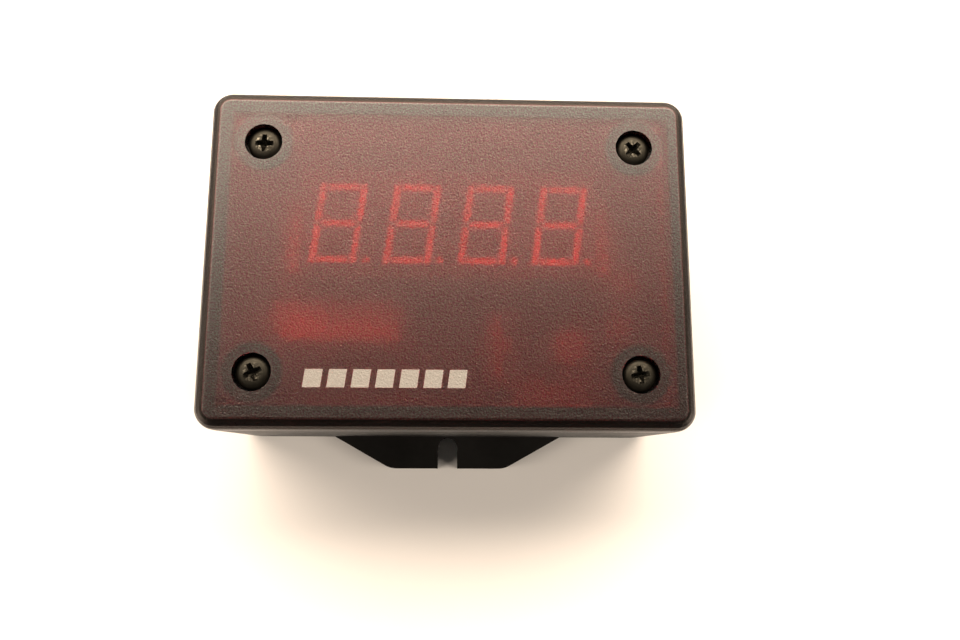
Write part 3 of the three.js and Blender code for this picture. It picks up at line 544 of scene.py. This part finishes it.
NODE_MATERIALS = {
    "rear_case": abs_black.material,
    "front_cover": window_material(),
    "cable_grommet": rubber.material,
    "main_board": board_material("main_board"),
    "display_board": board_material("display_board"),
    "terminal_housing": terminal_grey.material,
    "heat_sink": sink_black.material,
    "regulator": regulator_material(),
    "regulator_screw": steel.material,
    "capacitor": sleeve_blue,
    "microcontroller": moulded_black.material,
    "led_driver": moulded_black.material,
    "resistor_network": coat_brown.material,
    "reverse_diode": diode_material(),
    "trimmer_body": trimmer_blue.material,
    "trimmer_rotor": trimmer_white.material,
}
BY_START = {
    "cover_screw": black_oxide,
    "board_screw": steel,
    "socket_strip": moulded_black,
    "header_strip": moulded_black,
    "terminal_screw": zinc,
    "terminal_clamp": brass,
    "terminal_contact": tinned,
    "set_button_body": moulded_black,
    "set_button_stem": button_grey,
}


def smooth_group():
    """Smooth shading that leaves edges over 32 degrees sharp, as a geometry node group."""
    group = bpy.data.node_groups.new("smooth_by_angle", "GeometryNodeTree")
    group.is_modifier = True
    group.interface.new_socket("Geometry", in_out="INPUT", socket_type="NodeSocketGeometry")
    group.interface.new_socket("Geometry", in_out="OUTPUT", socket_type="NodeSocketGeometry")
    nodes, links = group.nodes, group.links
    start, end = nodes.new("NodeGroupInput"), nodes.new("NodeGroupOutput")
    faces = nodes.new("GeometryNodeSetShadeSmooth")
    edges = nodes.new("GeometryNodeSetShadeSmooth")
    edges.domain = "EDGE"
    angle = nodes.new("GeometryNodeInputMeshEdgeAngle")
    compare = nodes.new("FunctionNodeCompare")
    compare.data_type = "FLOAT"
    compare.operation = "GREATER_THAN"
    compare.inputs[1].default_value = math.radians(32)
    links.new(angle.outputs["Unsigned Angle"], compare.inputs[0])
    links.new(start.outputs[0], faces.inputs["Geometry"])
    links.new(faces.outputs[0], edges.inputs["Geometry"])
    links.new(compare.outputs[0], edges.inputs["Selection"])
    edges.inputs["Shade Smooth"].default_value = False
    links.new(edges.outputs[0], end.inputs[0])
    return group


SMOOTH = smooth_group()


def smooth_cad(node):
    node.modifiers.new("smooth", "NODES").node_group = SMOOTH
    weighted = node.modifiers.new("weighted", "WEIGHTED_NORMAL")
    weighted.keep_sharp = True
    weighted.weight = 100


for name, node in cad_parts.items():
    chosen = NODE_MATERIALS.get(name)
    if chosen is None and name.startswith("digit_"):
        chosen = (digit_face if name.endswith("housing") else digit_resin).material
    for start, shader in BY_START.items():
        if name.startswith(start):
            chosen = shader.material
    node.data.materials.clear()
    node.data.materials.append(chosen)
    smooth_cad(node)

# ---------------------------------------------------------------- pieces


def tube(work, rings):
    """Joins rings of points with quads, and closes both ends."""
    rows = [[work.verts.new(point) for point in ring] for ring in rings]
    for low, high in zip(rows, rows[1:]):
        for i in range(len(low)):
            j = (i + 1) % len(low)
            work.faces.new((low[i], low[j], high[j], high[i]))
    work.faces.new(rows[0][::-1])
    work.faces.new(rows[-1])


def circle(radius, z, steps=48, x=0.0, y=0.0):
    turns = [2 * math.pi * k / steps for k in range(steps)]
    return [(x + radius * math.cos(turn), y + radius * math.sin(turn), z) for turn in turns]


def turned(work, profile, x, y, base=0.0, steps=48):
    """A solid of revolution about an upright axis, from its (radius, height) points."""
    tube(work, [circle(radius, base + height, steps, x, y) for radius, height in profile])


def band(work, loops):
    """Joins loops of points with quads, and the last loop to the first, as a closed ring."""
    rows = [[work.verts.new(point) for point in loop] for loop in loops]
    for i, first in enumerate(rows):
        second = rows[(i + 1) % len(rows)]
        for a in range(len(first)):
            b = (a + 1) % len(first)
            work.faces.new((first[a], first[b], second[b], second[a]))


def blade(x, half_x, y0, y1, z0, z1=None):
    """The four corners of a strip's section, the far side at z1."""
    z1 = z0 if z1 is None else z1
    return [(x - half_x, y0, z0), (x + half_x, y0, z0), (x + half_x, y1, z1), (x - half_x, y1, z1)]


def new_object(name, work, angle=35):
    """A millimetre bmesh as an object in metres, smooth but for its sharp edges."""
    bmesh.ops.recalc_face_normals(work, faces=work.faces)
    bmesh.ops.scale(work, vec=(MM, MM, MM), verts=work.verts)
    mesh = bpy.data.meshes.new(name)
    work.to_mesh(mesh)
    work.free()
    for polygon in mesh.polygons:
        polygon.use_smooth = True
    mesh.set_sharp_from_angle(angle=math.radians(angle))
    made = bpy.data.objects.new(name, mesh)
    scene.collection.objects.link(made)
    return made


def settle(made, material, body="case", replaces=()):
    made.data.materials.clear()
    made.data.materials.append(material)
    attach(made, body)
    if replaces:
        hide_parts(*replaces)
    return made


def cut_with(made, cutter, angle=30):
    """Takes the cutter out of a piece and removes it."""
    change = made.modifiers.new("cut", "BOOLEAN")
    change.operation = "DIFFERENCE"
    change.solver = "EXACT"
    change.object = cutter
    bpy.context.view_layer.update()
    result = bpy.data.meshes.new_from_object(made.evaluated_get(bpy.context.evaluated_depsgraph_get()))
    made.modifiers.clear()
    made.data = result
    for polygon in result.polygons:
        polygon.use_smooth = True
    result.set_sharp_from_angle(angle=math.radians(angle))
    bpy.data.objects.remove(cutter)


# ---- screws

SCREW_STEPS = 40
ROWS_PER_TURN = 8


def screw_piece(name, head, head_height, thread, length, pitch, cross, depth):
    """A pan-head screw with a rolled thread and a tapered cross recess. Its head rests on z = 0."""
    rings = []
    rows = round(length / pitch * ROWS_PER_TURN)
    for row in range(rows + 1):
        z = -length + length * row / rows
        taper = min(1.0, 0.35 + 0.65 * (z + length) / (2.2 * thread))
        fade = min(1.0, max(0.0, -z / pitch - 0.6))
        ring = []
        for k in range(SCREW_STEPS):
            turn = 2 * math.pi * k / SCREW_STEPS
            phase = (z / pitch - k / SCREW_STEPS) % 1.0
            crest = max(0.0, 1.0 - abs(2 * phase - 1) / 0.55)
            radius = thread * taper * (0.78 + 0.21 * crest * fade)
            ring.append((radius * math.cos(turn), radius * math.sin(turn), z))
        rings.append(ring)
    profile = [(0.9, 0.0), (0.965, 0.03), (0.995, 0.12), (1.0, 0.25), (1.0, 0.45)]
    for step in range(1, 9):
        turn = step / 8 * math.pi / 2
        profile.append((math.cos(turn) ** 0.5 if step < 8 else 0.04, 0.45 + 0.55 * math.sin(turn)))
    for share, rise in profile:
        rings.append(circle(head * share, head_height * rise, SCREW_STEPS))
    work = bmesh.new()
    tube(work, rings)
    made = new_object(name, work)

    work = bmesh.new()
    floor = head_height - depth
    levels = [(1.06, 0.5, head_height + 0.3), (1.0, 0.46, head_height), (0.62, 0.30, floor)]
    crosses = []
    for reach, half, z in levels:
        arm, side = reach * cross / 2, half
        corner = side * 1.12
        points = []
        for quarter in range(4):
            c, s = math.cos(quarter * math.pi / 2), math.sin(quarter * math.pi / 2)
            for px, py in ((arm, -side * 0.8), (arm, side * 0.8), (corner, corner)):
                points.append((c * px - s * py, s * px + c * py, z))
        crosses.append(points)
    crosses.append([(p[0] * 0.12, p[1] * 0.12, floor - 0.32) for p in crosses[-1]])
    tube(work, crosses)
    cutter = new_object(name + "_cutter", work)
    cut_with(made, cutter)
    return made


COVER_SCREW_TURNS = (0, 45, 25, 9)
COVER_SCREW_HEAD, BOARD_SCREW_HEAD, REGULATOR_SCREW_HEAD = 2.0, 1.7, 1.8
for index, centre in enumerate(screw_centres):
    node = f"cover_screw_{index + 1}"
    low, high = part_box(node)
    seat = high.z - COVER_SCREW_HEAD * MM
    length = (seat - low.z) / MM
    made = screw_piece(f"{node}_detail", 2.92, COVER_SCREW_HEAD, 1.42, length, 1.06, 3.2, 1.25)
    made.location = (centre.x, centre.y, seat)
    made.rotation_euler.z = math.radians(COVER_SCREW_TURNS[index])
    settle(made, screw_black, node, [node])
for index in range(1, 5):
    node = f"board_screw_{index}"
    low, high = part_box(node)
    seat = high.z - BOARD_SCREW_HEAD * MM
    length = (seat - low.z) / MM
    made = screw_piece(f"{node}_detail", 2.3, BOARD_SCREW_HEAD, 1.25, length, 0.95, 2.6, 1.0)
    made.location = ((low.x + high.x) / 2, (low.y + high.y) / 2, seat)
    made.rotation_euler.z = math.radians(37 * index)
    settle(made, steel.material, "case", [node])
low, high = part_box("regulator_screw")
seat = high.x - REGULATOR_SCREW_HEAD * MM
length = (seat - low.x) / MM
made = screw_piece("regulator_screw_detail", 2.8, REGULATOR_SCREW_HEAD, 1.5, length, 0.5, 3.0, 1.0)
made.location = (seat, (low.y + high.y) / 2, (low.z + high.z) / 2)
made.rotation_euler = (0, math.pi / 2, 0)
settle(made, steel_dull.material, "case", ["regulator_screw"])


# ---- boards

BOARD_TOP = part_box("main_board")[1].z / MM
DISPLAY_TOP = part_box("display_board")[1].z / MM
PRINT_LEVEL = BOARD_TOP + 0.047
PIN = 2.54
CHIP_ROW = 3.81
BUTTON_LEG_X, BUTTON_LEG_Y = 3.25, 2.25
SIGNAL = 0.45
LOW_LANE = -23.6
HEADER_X = 27.9
CHIPS = {"microcontroller": 18, "led_driver": 16}


def middle(name):
    low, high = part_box(name)
    return (low + high) / 2 / MM


def solder_joint(work, x, y, z, radius=0.85, rise=0.5, steps=16):
    """A pad with a hollow-sided fillet that climbs the lead."""
    pad = [(1.0, -0.01 * rise), (1.0, 0.05), (0.92, 0.06)]
    fillet = [(r, h * rise) for r, h in ((0.66, 0.14), (0.48, 0.4), (0.38, 0.85), (0.28, 1.0))]
    turned(work, [(radius * r, h) for r, h in pad + fillet], x, y, z, steps)


def track(work, points, width, z, height=0.045):
    """A raised copper track along a line of points, with mitred bends."""
    rings = []
    for i, (x, y) in enumerate(points):
        before = Vector(points[max(i - 1, 0)])
        after = Vector(points[min(i + 1, len(points) - 1)])
        here = Vector((x, y))
        into = (here - before).normalized() if i else (after - here).normalized()
        out = (after - here).normalized() if i < len(points) - 1 else into
        across = Vector((-(into.y + out.y), into.x + out.x)).normalized()
        stretch = 1 / max(0.5, across.dot(Vector((-into.y, into.x))))
        side = across * (width / 2 * stretch)
        inner = side * max(0.0, 1 - 0.12 / width)
        rings.append(
            [
                (x - side.x, y - side.y, z - 0.01),
                (x + side.x, y + side.y, z - 0.01),
                (x + inner.x, y + inner.y, z + height),
                (x - inner.x, y - inner.y, z + height),
            ]
        )
    tube(work, rings)


def frame_line(work, x0, y0, x1, y1, z, width=0.16, height=0.025):
    """A printed rectangle outline, as one closed ring of section width by height."""
    rings = []
    for sx, sy in ((0, 0), (1, 0), (1, 1), (0, 1)):
        x, y = (x0, x1)[sx], (y0, y1)[sy]
        dx, dy = (1, -1)[sx] * width / 2, (1, -1)[sy] * width / 2
        outer, inner = (x - dx, y - dy), (x + dx, y + dy)
        rings.append([(*outer, z), (*inner, z), (*inner, z + height), (*outer, z + height)])
    band(work, rings)


def chip_pins(name):
    centre = middle(name)
    per_side = CHIPS[name] // 2
    along = [centre.x + (i - (per_side - 1) / 2) * PIN for i in range(per_side)]
    return {side: [(x, centre.y + side * CHIP_ROW) for x in along] for side in (-1, 1)}


mcu = chip_pins("microcontroller")
driver = chip_pins("led_driver")
network_middle = middle("resistor_network")
network_pins = [(network_middle.x + (i - 4) * PIN, network_middle.y) for i in range(9)]
regulator_middle = middle("regulator")
leg_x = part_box("regulator")[0].x / MM + 2.5
regulator_pins = [(leg_x, regulator_middle.y + offset) for offset in (-PIN, 0, PIN)]
diode_middle = middle("reverse_diode")
diode_pins = [(diode_middle.x, diode_middle.y + offset) for offset in (-4.35, 4.35)]
button_middles = [middle(f"set_button_body_{i}") for i in (1, 2)]
contact_pins = []
for i in range(1, 7):
    low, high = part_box(f"terminal_contact_{i}")
    contact_pins.append(((low.x + high.x) / 2 / MM, high.y / MM))
terminal_low, terminal_high = (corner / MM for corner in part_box("terminal_housing"))

work = bmesh.new()
for pins in (mcu, driver):
    for side in pins:
        for x, y in pins[side]:
            solder_joint(work, x, y, BOARD_TOP, 0.8, 0.55)
for x, y in network_pins + regulator_pins + diode_pins:
    solder_joint(work, x, y, BOARD_TOP, 0.95 if (x, y) in diode_pins else 0.8, 0.6)
for centre in button_middles:
    for dx in (-BUTTON_LEG_X, BUTTON_LEG_X):
        for dy in (-BUTTON_LEG_Y, BUTTON_LEG_Y):
            solder_joint(work, centre.x + dx, centre.y + dy, BOARD_TOP, 0.75, 0.5)
settle(new_object("main_board_solder", work), solder)

work = bmesh.new()
for x in (-HEADER_X, HEADER_X):
    y0 = middle("header_strip_left").y
    for i in range(6):
        solder_joint(work, x, y0 + (i - 2.5) * PIN, DISPLAY_TOP, 0.8, 0.75)
settle(new_object("display_board_solder", work), solder)

work = bmesh.new()
for i, (x, y) in enumerate(mcu[1]):
    lane = 13.6 + 0.95 * (8 - i)
    if i:
        tx, ty = driver[1][i - 1]
        route = [(x, y), (x, lane - 0.5), (x + 0.5, lane), (tx - 0.5, lane), (tx, lane - 0.5), (tx, ty)]
        track(work, route, SIGNAL, BOARD_TOP)
    else:
        track(work, [(x, y), (x, 22.4), (x + 0.6, 23.0), (30, 23.0)], 0.7, BOARD_TOP)
for (x, y), (nx, ny) in zip(mcu[-1], network_pins):
    track(work, [(x, y), (x, y - 1.2), (nx, y - 1.2 - abs(nx - x)), (nx, ny)], SIGNAL, BOARD_TOP)
for i, (x, y) in enumerate(contact_pins):
    nx, ny = network_pins[i]
    rise = -4.2 + 0.25 * i
    bend = nx - x
    route = [(x, y), (x, rise), (x + bend, rise + min(abs(bend), 1.2)), (nx, ny)]
    track(work, route, 0.55 if i > 1 else 1.0, BOARD_TOP)
for i, (x, y) in enumerate(driver[-1]):
    lane = -1.0 - 0.95 * i
    track(work, [(x, y), (x, lane + 0.6), (x + 0.6, lane), (27.0 - 0.4 * i, lane)], SIGNAL, BOARD_TOP)
supply = [diode_pins[0], (diode_pins[0][0], -9.5), (-31.6, -11.0), (-31.6, -12.6), (-29.8, -14.4)]
track(work, supply + [(regulator_pins[0][0], -17.5)], 1.4, BOARD_TOP)
track(work, [diode_pins[1], (diode_pins[1][0], 11.6), (-25.6, 19.1), (-25.6, 23.4)], 1.4, BOARD_TOP)
track(work, [regulator_pins[1], (14.5, regulator_pins[1][1]), (16, -13.4), (22, -13.4)], 1.6, BOARD_TOP)
output = [regulator_pins[2], (13, -10.6), (14.2, -9.4), (25.2, -9.4), (26, -8.6), (26, 22.0)]
track(work, output, 0.9, BOARD_TOP)
for centre in button_middles:
    x, y = centre.x - BUTTON_LEG_X, centre.y + BUTTON_LEG_Y
    track(work, [(x, y), (x, y + 1.0), (x - 1.2, y + 2.2), (x - 1.2, -8.0)], 0.5, BOARD_TOP)
    x, y = centre.x + BUTTON_LEG_X, centre.y - BUTTON_LEG_Y
    track(work, [(x, y), (x, LOW_LANE), (centre.x - 2, LOW_LANE)], 0.5, BOARD_TOP)
track(work, [(-22, LOW_LANE), (10.5, LOW_LANE)], 1.2, BOARD_TOP)
for i in range(3):
    lane = LOW_LANE + 1.6 + 0.9 * i
    track(work, [(-20 + i, lane), (8 - i, lane)], SIGNAL, BOARD_TOP)
settle(new_object("main_board_tracks", work), track_green.material)

work = bmesh.new()
trimmer_middle = middle("trimmer_body")
capacitor_middle = middle("capacitor")
sink_low, sink_high = (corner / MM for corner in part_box("heat_sink"))
outlines = [
    (terminal_low.x - 0.4, terminal_low.y - 0.4, terminal_high.x + 0.4, terminal_high.y + 0.4),
    (network_middle.x - 11.9, network_middle.y - 1.6, network_middle.x + 11.9, network_middle.y + 1.6),
    (diode_middle.x - 1.8, -3.1, diode_middle.x + 1.8, 3.1),
    (sink_low.x - 0.5, sink_low.y - 0.5, sink_high.x + 0.5, sink_high.y + 0.5),
    (trimmer_middle.x - 3.65, -3.65, trimmer_middle.x + 3.65, 3.65),
]
for name, count in CHIPS.items():
    centre = middle(name)
    half = count * PIN / 4 + 0.4
    outlines.append((centre.x - half, centre.y - 5.1, centre.x + half, centre.y + 5.1))
for centre in button_middles:
    outlines.append((centre.x - 3.4, centre.y - 3.1, centre.x + 3.4, centre.y + 3.1))
for x0, y0, x1, y1 in outlines:
    frame_line(work, x0, y0, x1, y1, PRINT_LEVEL)
ring = ((4.35, 0), (4.5, 0), (4.5, 0.025), (4.35, 0.025))
band(work, [circle(r, PRINT_LEVEL + z, 40, capacitor_middle.x, capacitor_middle.y) for r, z in ring])
for name in CHIPS:
    centre = middle(name)
    x = centre.x - 12.9
    frame_line(work, x, centre.y - 0.8, x + 0.3, centre.y + 0.8, PRINT_LEVEL)
settle(new_object("main_board_legend", work), legend_white.material)


# ---- chips


# Along a chip's lead: distance out from its row, height from the seam, half width.
CHIP_LEAD = [
    (-1.0, 0.25, 0.7),
    (-0.58, 0.25, 0.7),
    (-0.14, 0.23, 0.7),
    (0.0, 0.06, 0.7),
    (0.0, -0.45, 0.7),
    (0.0, -0.85, 0.7),
    (0.0, -1.05, 0.28),
]


def chip_piece(name, pins):
    """A moulded dual in-line body with drafted sides, a notch and a dimple at its first pin."""
    centre = middle(name)
    low, high = (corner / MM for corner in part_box(name))
    foot, top = low.z + 0.5, high.z
    seam = (foot + top) / 2
    half_x, half_y = pins / 2 * PIN / 2, 3.175
    work = bmesh.new()
    lower = [(foot, 0.34), (foot + 0.1, 0.22), (seam - 0.02, 0.0)]
    upper = [(seam + 0.12, 0.0), (top - 0.1, 0.22), (top, 0.34)]
    soft = 0.14
    rings = []
    for z, inset in lower + upper:
        x, y = half_x - inset, half_y - inset
        corner = [(x, y - soft), (x - soft, y)]
        ring = []
        for sx, sy in ((1, 1), (-1, 1), (-1, -1), (1, -1)):
            for px, py in corner if sx * sy > 0 else corner[::-1]:
                ring.append((centre.x + sx * px, centre.y + sy * py, z))
        rings.append(ring)
    tube(work, rings)
    made = new_object(name + "_body", work)
    notch = (0.85, centre.x - half_x + 0.3, centre.y, 0.35)
    dimple = (0.5, centre.x - half_x + 1.6, centre.y - 2.0, 0.12)
    for radius, x, y, depth in (notch, dimple):
        work = bmesh.new()
        turned(work, [(radius * 0.86, -depth), (radius, -depth * 0.6), (radius, 1)], x, y, top, 28)
        cut_with(made, new_object("cutter", work))
    settle(made, chip_black.material, "case", [name])

    work = bmesh.new()
    for side, places in chip_pins(name).items():
        for x, y in places:
            path = CHIP_LEAD + [(0.0, -(seam - low.z), 0.25)]
            rings = []
            for k, (out, drop, half) in enumerate(path):
                previous, following = path[max(k - 1, 0)], path[min(k + 1, len(path) - 1)]
                along = Vector((following[0] - previous[0], following[1] - previous[1])).normalized()
                normal = Vector((-along.y, along.x)) * 0.125
                py, pz = y + side * out, seam - 0.125 + drop - 0.1
                across = side * normal.x
                rings.append(blade(x, half, py - across, py + across, pz - normal.y, pz + normal.y))
            tube(work, rings)
    settle(new_object(name + "_leads", work), tinned.material)


for name, pins in CHIPS.items():
    chip_piece(name, pins)

# ---- resistor network, dipped in brown coating

low, high = (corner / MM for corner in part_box("resistor_network"))
work = bmesh.new()
rings = []
half_length = (high.x - low.x) / 2
for step in range(25):
    turn = math.pi * step / 24
    x = network_middle.x - half_length * math.cos(turn)
    fullness = (1 - abs(math.cos(turn)) ** 14) ** 0.5
    swell = 1 - 0.06 * math.cos(8 * turn) ** 2
    ring = []
    for k in range(28):
        angle = 2 * math.pi * k / 28
        c, s = math.cos(angle), math.sin(angle)
        py = math.copysign(abs(c) ** 0.75, c) * (high.y - low.y) / 2 * max(fullness, 0.05) * swell
        pz = math.copysign(abs(s) ** 0.55, s) * 2.05 * (0.72 + 0.28 * max(fullness, 0.05))
        ring.append((x, network_middle.y + py, high.z - 2.06 + pz))
    rings.append(ring)
tube(work, rings)
made = new_object("resistor_network_body", work)
settle(made, coat_brown.material, "case", ["resistor_network"])
work = bmesh.new()
for x, y in network_pins:
    widths = ((0.25, 0.0), (0.25, 0.55), (0.42, 0.8), (0.42, 1.6))
    tube(work, [blade(x, half, y - 0.13, y + 0.13, low.z + z) for half, z in widths])
settle(new_object("resistor_network_leads", work), tinned.material)

# ---- capacitor

low, high = (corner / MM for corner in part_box("capacitor"))
work = bmesh.new()
foot = [(3.5, 0), (3.85, 0.08), (4, 0.3), (4, 1.1)]
groove = [(3.88, 1.35), (3.64, 1.6), (3.88, 1.85), (4, 2.1)]
shoulder = [(4, 11.1), (3.9, 11.36), (3.66, 11.5), (3.4, 11.47), (3.28, 11.36)]
turned(work, foot + groove + shoulder, capacitor_middle.x, capacitor_middle.y, low.z, 64)
settle(new_object("capacitor_sleeve", work), sleeve_blue, "case", ["capacitor"])
work = bmesh.new()
top = [(3.26, 11.3), (3.26, 11.40), (3.1, 11.43), (0.05, 11.43)]
turned(work, top, capacitor_middle.x, capacitor_middle.y, low.z, 64)
made = new_object("capacitor_top", work)
SCORE_SECTION = ((0.0, -0.09), (0.14, 0.05), (-0.14, 0.05))
for angle in (90, 210, 330):
    work = bmesh.new()
    turn = math.radians(angle)
    c, s = math.cos(turn), math.sin(turn)
    rings = []
    for t in (-0.1, 2.5):
        x, y = capacitor_middle.x + c * t, capacitor_middle.y + s * t
        rings.append([(x - s * w, y + c * w, low.z + 11.42 + h) for w, h in SCORE_SECTION])
    tube(work, rings)
    cut_with(made, new_object("cutter", work))
settle(made, aluminium.material)

# ---- button plates and legs

RIVET = [(0.52, 0.14), (0.52, 0.3), (0.44, 0.4), (0.2, 0.44)]
BUTTON_LEG = [(2.9, 1.6), (3.1, 1.6), (3.25, 1.4), (3.25, 0.9), (3.14, 0.5), (3.25, 0.0)]
for index, centre in enumerate(button_middles):
    low, high = (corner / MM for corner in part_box(f"set_button_body_{index + 1}"))
    work = bmesh.new()
    outer, inner = [], []
    for k in range(48):
        turn = 2 * math.pi * (k + 0.5) / 48
        c, s = math.cos(turn), math.sin(turn)
        reach = 2.98 / (abs(c) ** 10 + abs(s) ** 10) ** 0.1
        outer.append((centre.x + reach * c, centre.y + reach * s))
        inner.append((centre.x + 1.95 * c, centre.y + 1.95 * s))
    section = ((outer, 0.005), (outer, 0.16), (inner, 0.18), (inner, 0.005))
    band(work, [[(x, y, high.z + z) for x, y in loop] for loop, z in section])
    settle(new_object(f"set_button_plate_{index + 1}", work), steel.material)
    work = bmesh.new()
    for dx in (-1, 1):
        for dy in (-1, 1):
            x, y = centre.x + dx * 2.25, centre.y + dy * 2.25
            turned(work, RIVET, x, y, high.z, 16)
    settle(new_object(f"set_button_rivets_{index + 1}", work), moulded_black.material)
    work = bmesh.new()
    for dx in (-1, 1):
        for dy in (-BUTTON_LEG_Y, BUTTON_LEG_Y):
            y0, y1 = centre.y + dy - 0.35, centre.y + dy + 0.35
            rings = []
            for out, z in BUTTON_LEG:
                near, far = centre.x + dx * (out - 0.06), centre.x + dx * (out + 0.06)
                z += low.z
                rings.append([(near, y0, z), (near, y1, z), (far, y1, z + 0.02), (far, y0, z + 0.02)])
            tube(work, rings)
    settle(new_object(f"set_button_legs_{index + 1}", work), tinned.material)

# ---------------------------------------------------------------- table top


def table_top():
    s = Shader("table_white")
    slow = s.noise(160, 3.0, 0.5)
    s.set(
        base_color=s.mix(s.span(slow, 0.35, 0.65), (0.83, 0.82, 0.81), (0.87, 0.865, 0.86)),
        roughness=0.35,
        normal=s.bump(s.noise(3.0, 2.0, 0.5), 0.04, 0.05),
    )
    mesh = bpy.data.meshes.new("table_top")
    work = bmesh.new()
    bmesh.ops.create_grid(work, x_segments=8, y_segments=8, size=3.0)
    work.to_mesh(mesh)
    work.free()
    made = bpy.data.objects.new("table_top", mesh)
    made.location.z = case_low.z - 0.00002
    mesh.materials.append(s.material)
    scene.collection.objects.link(made)


table_top()
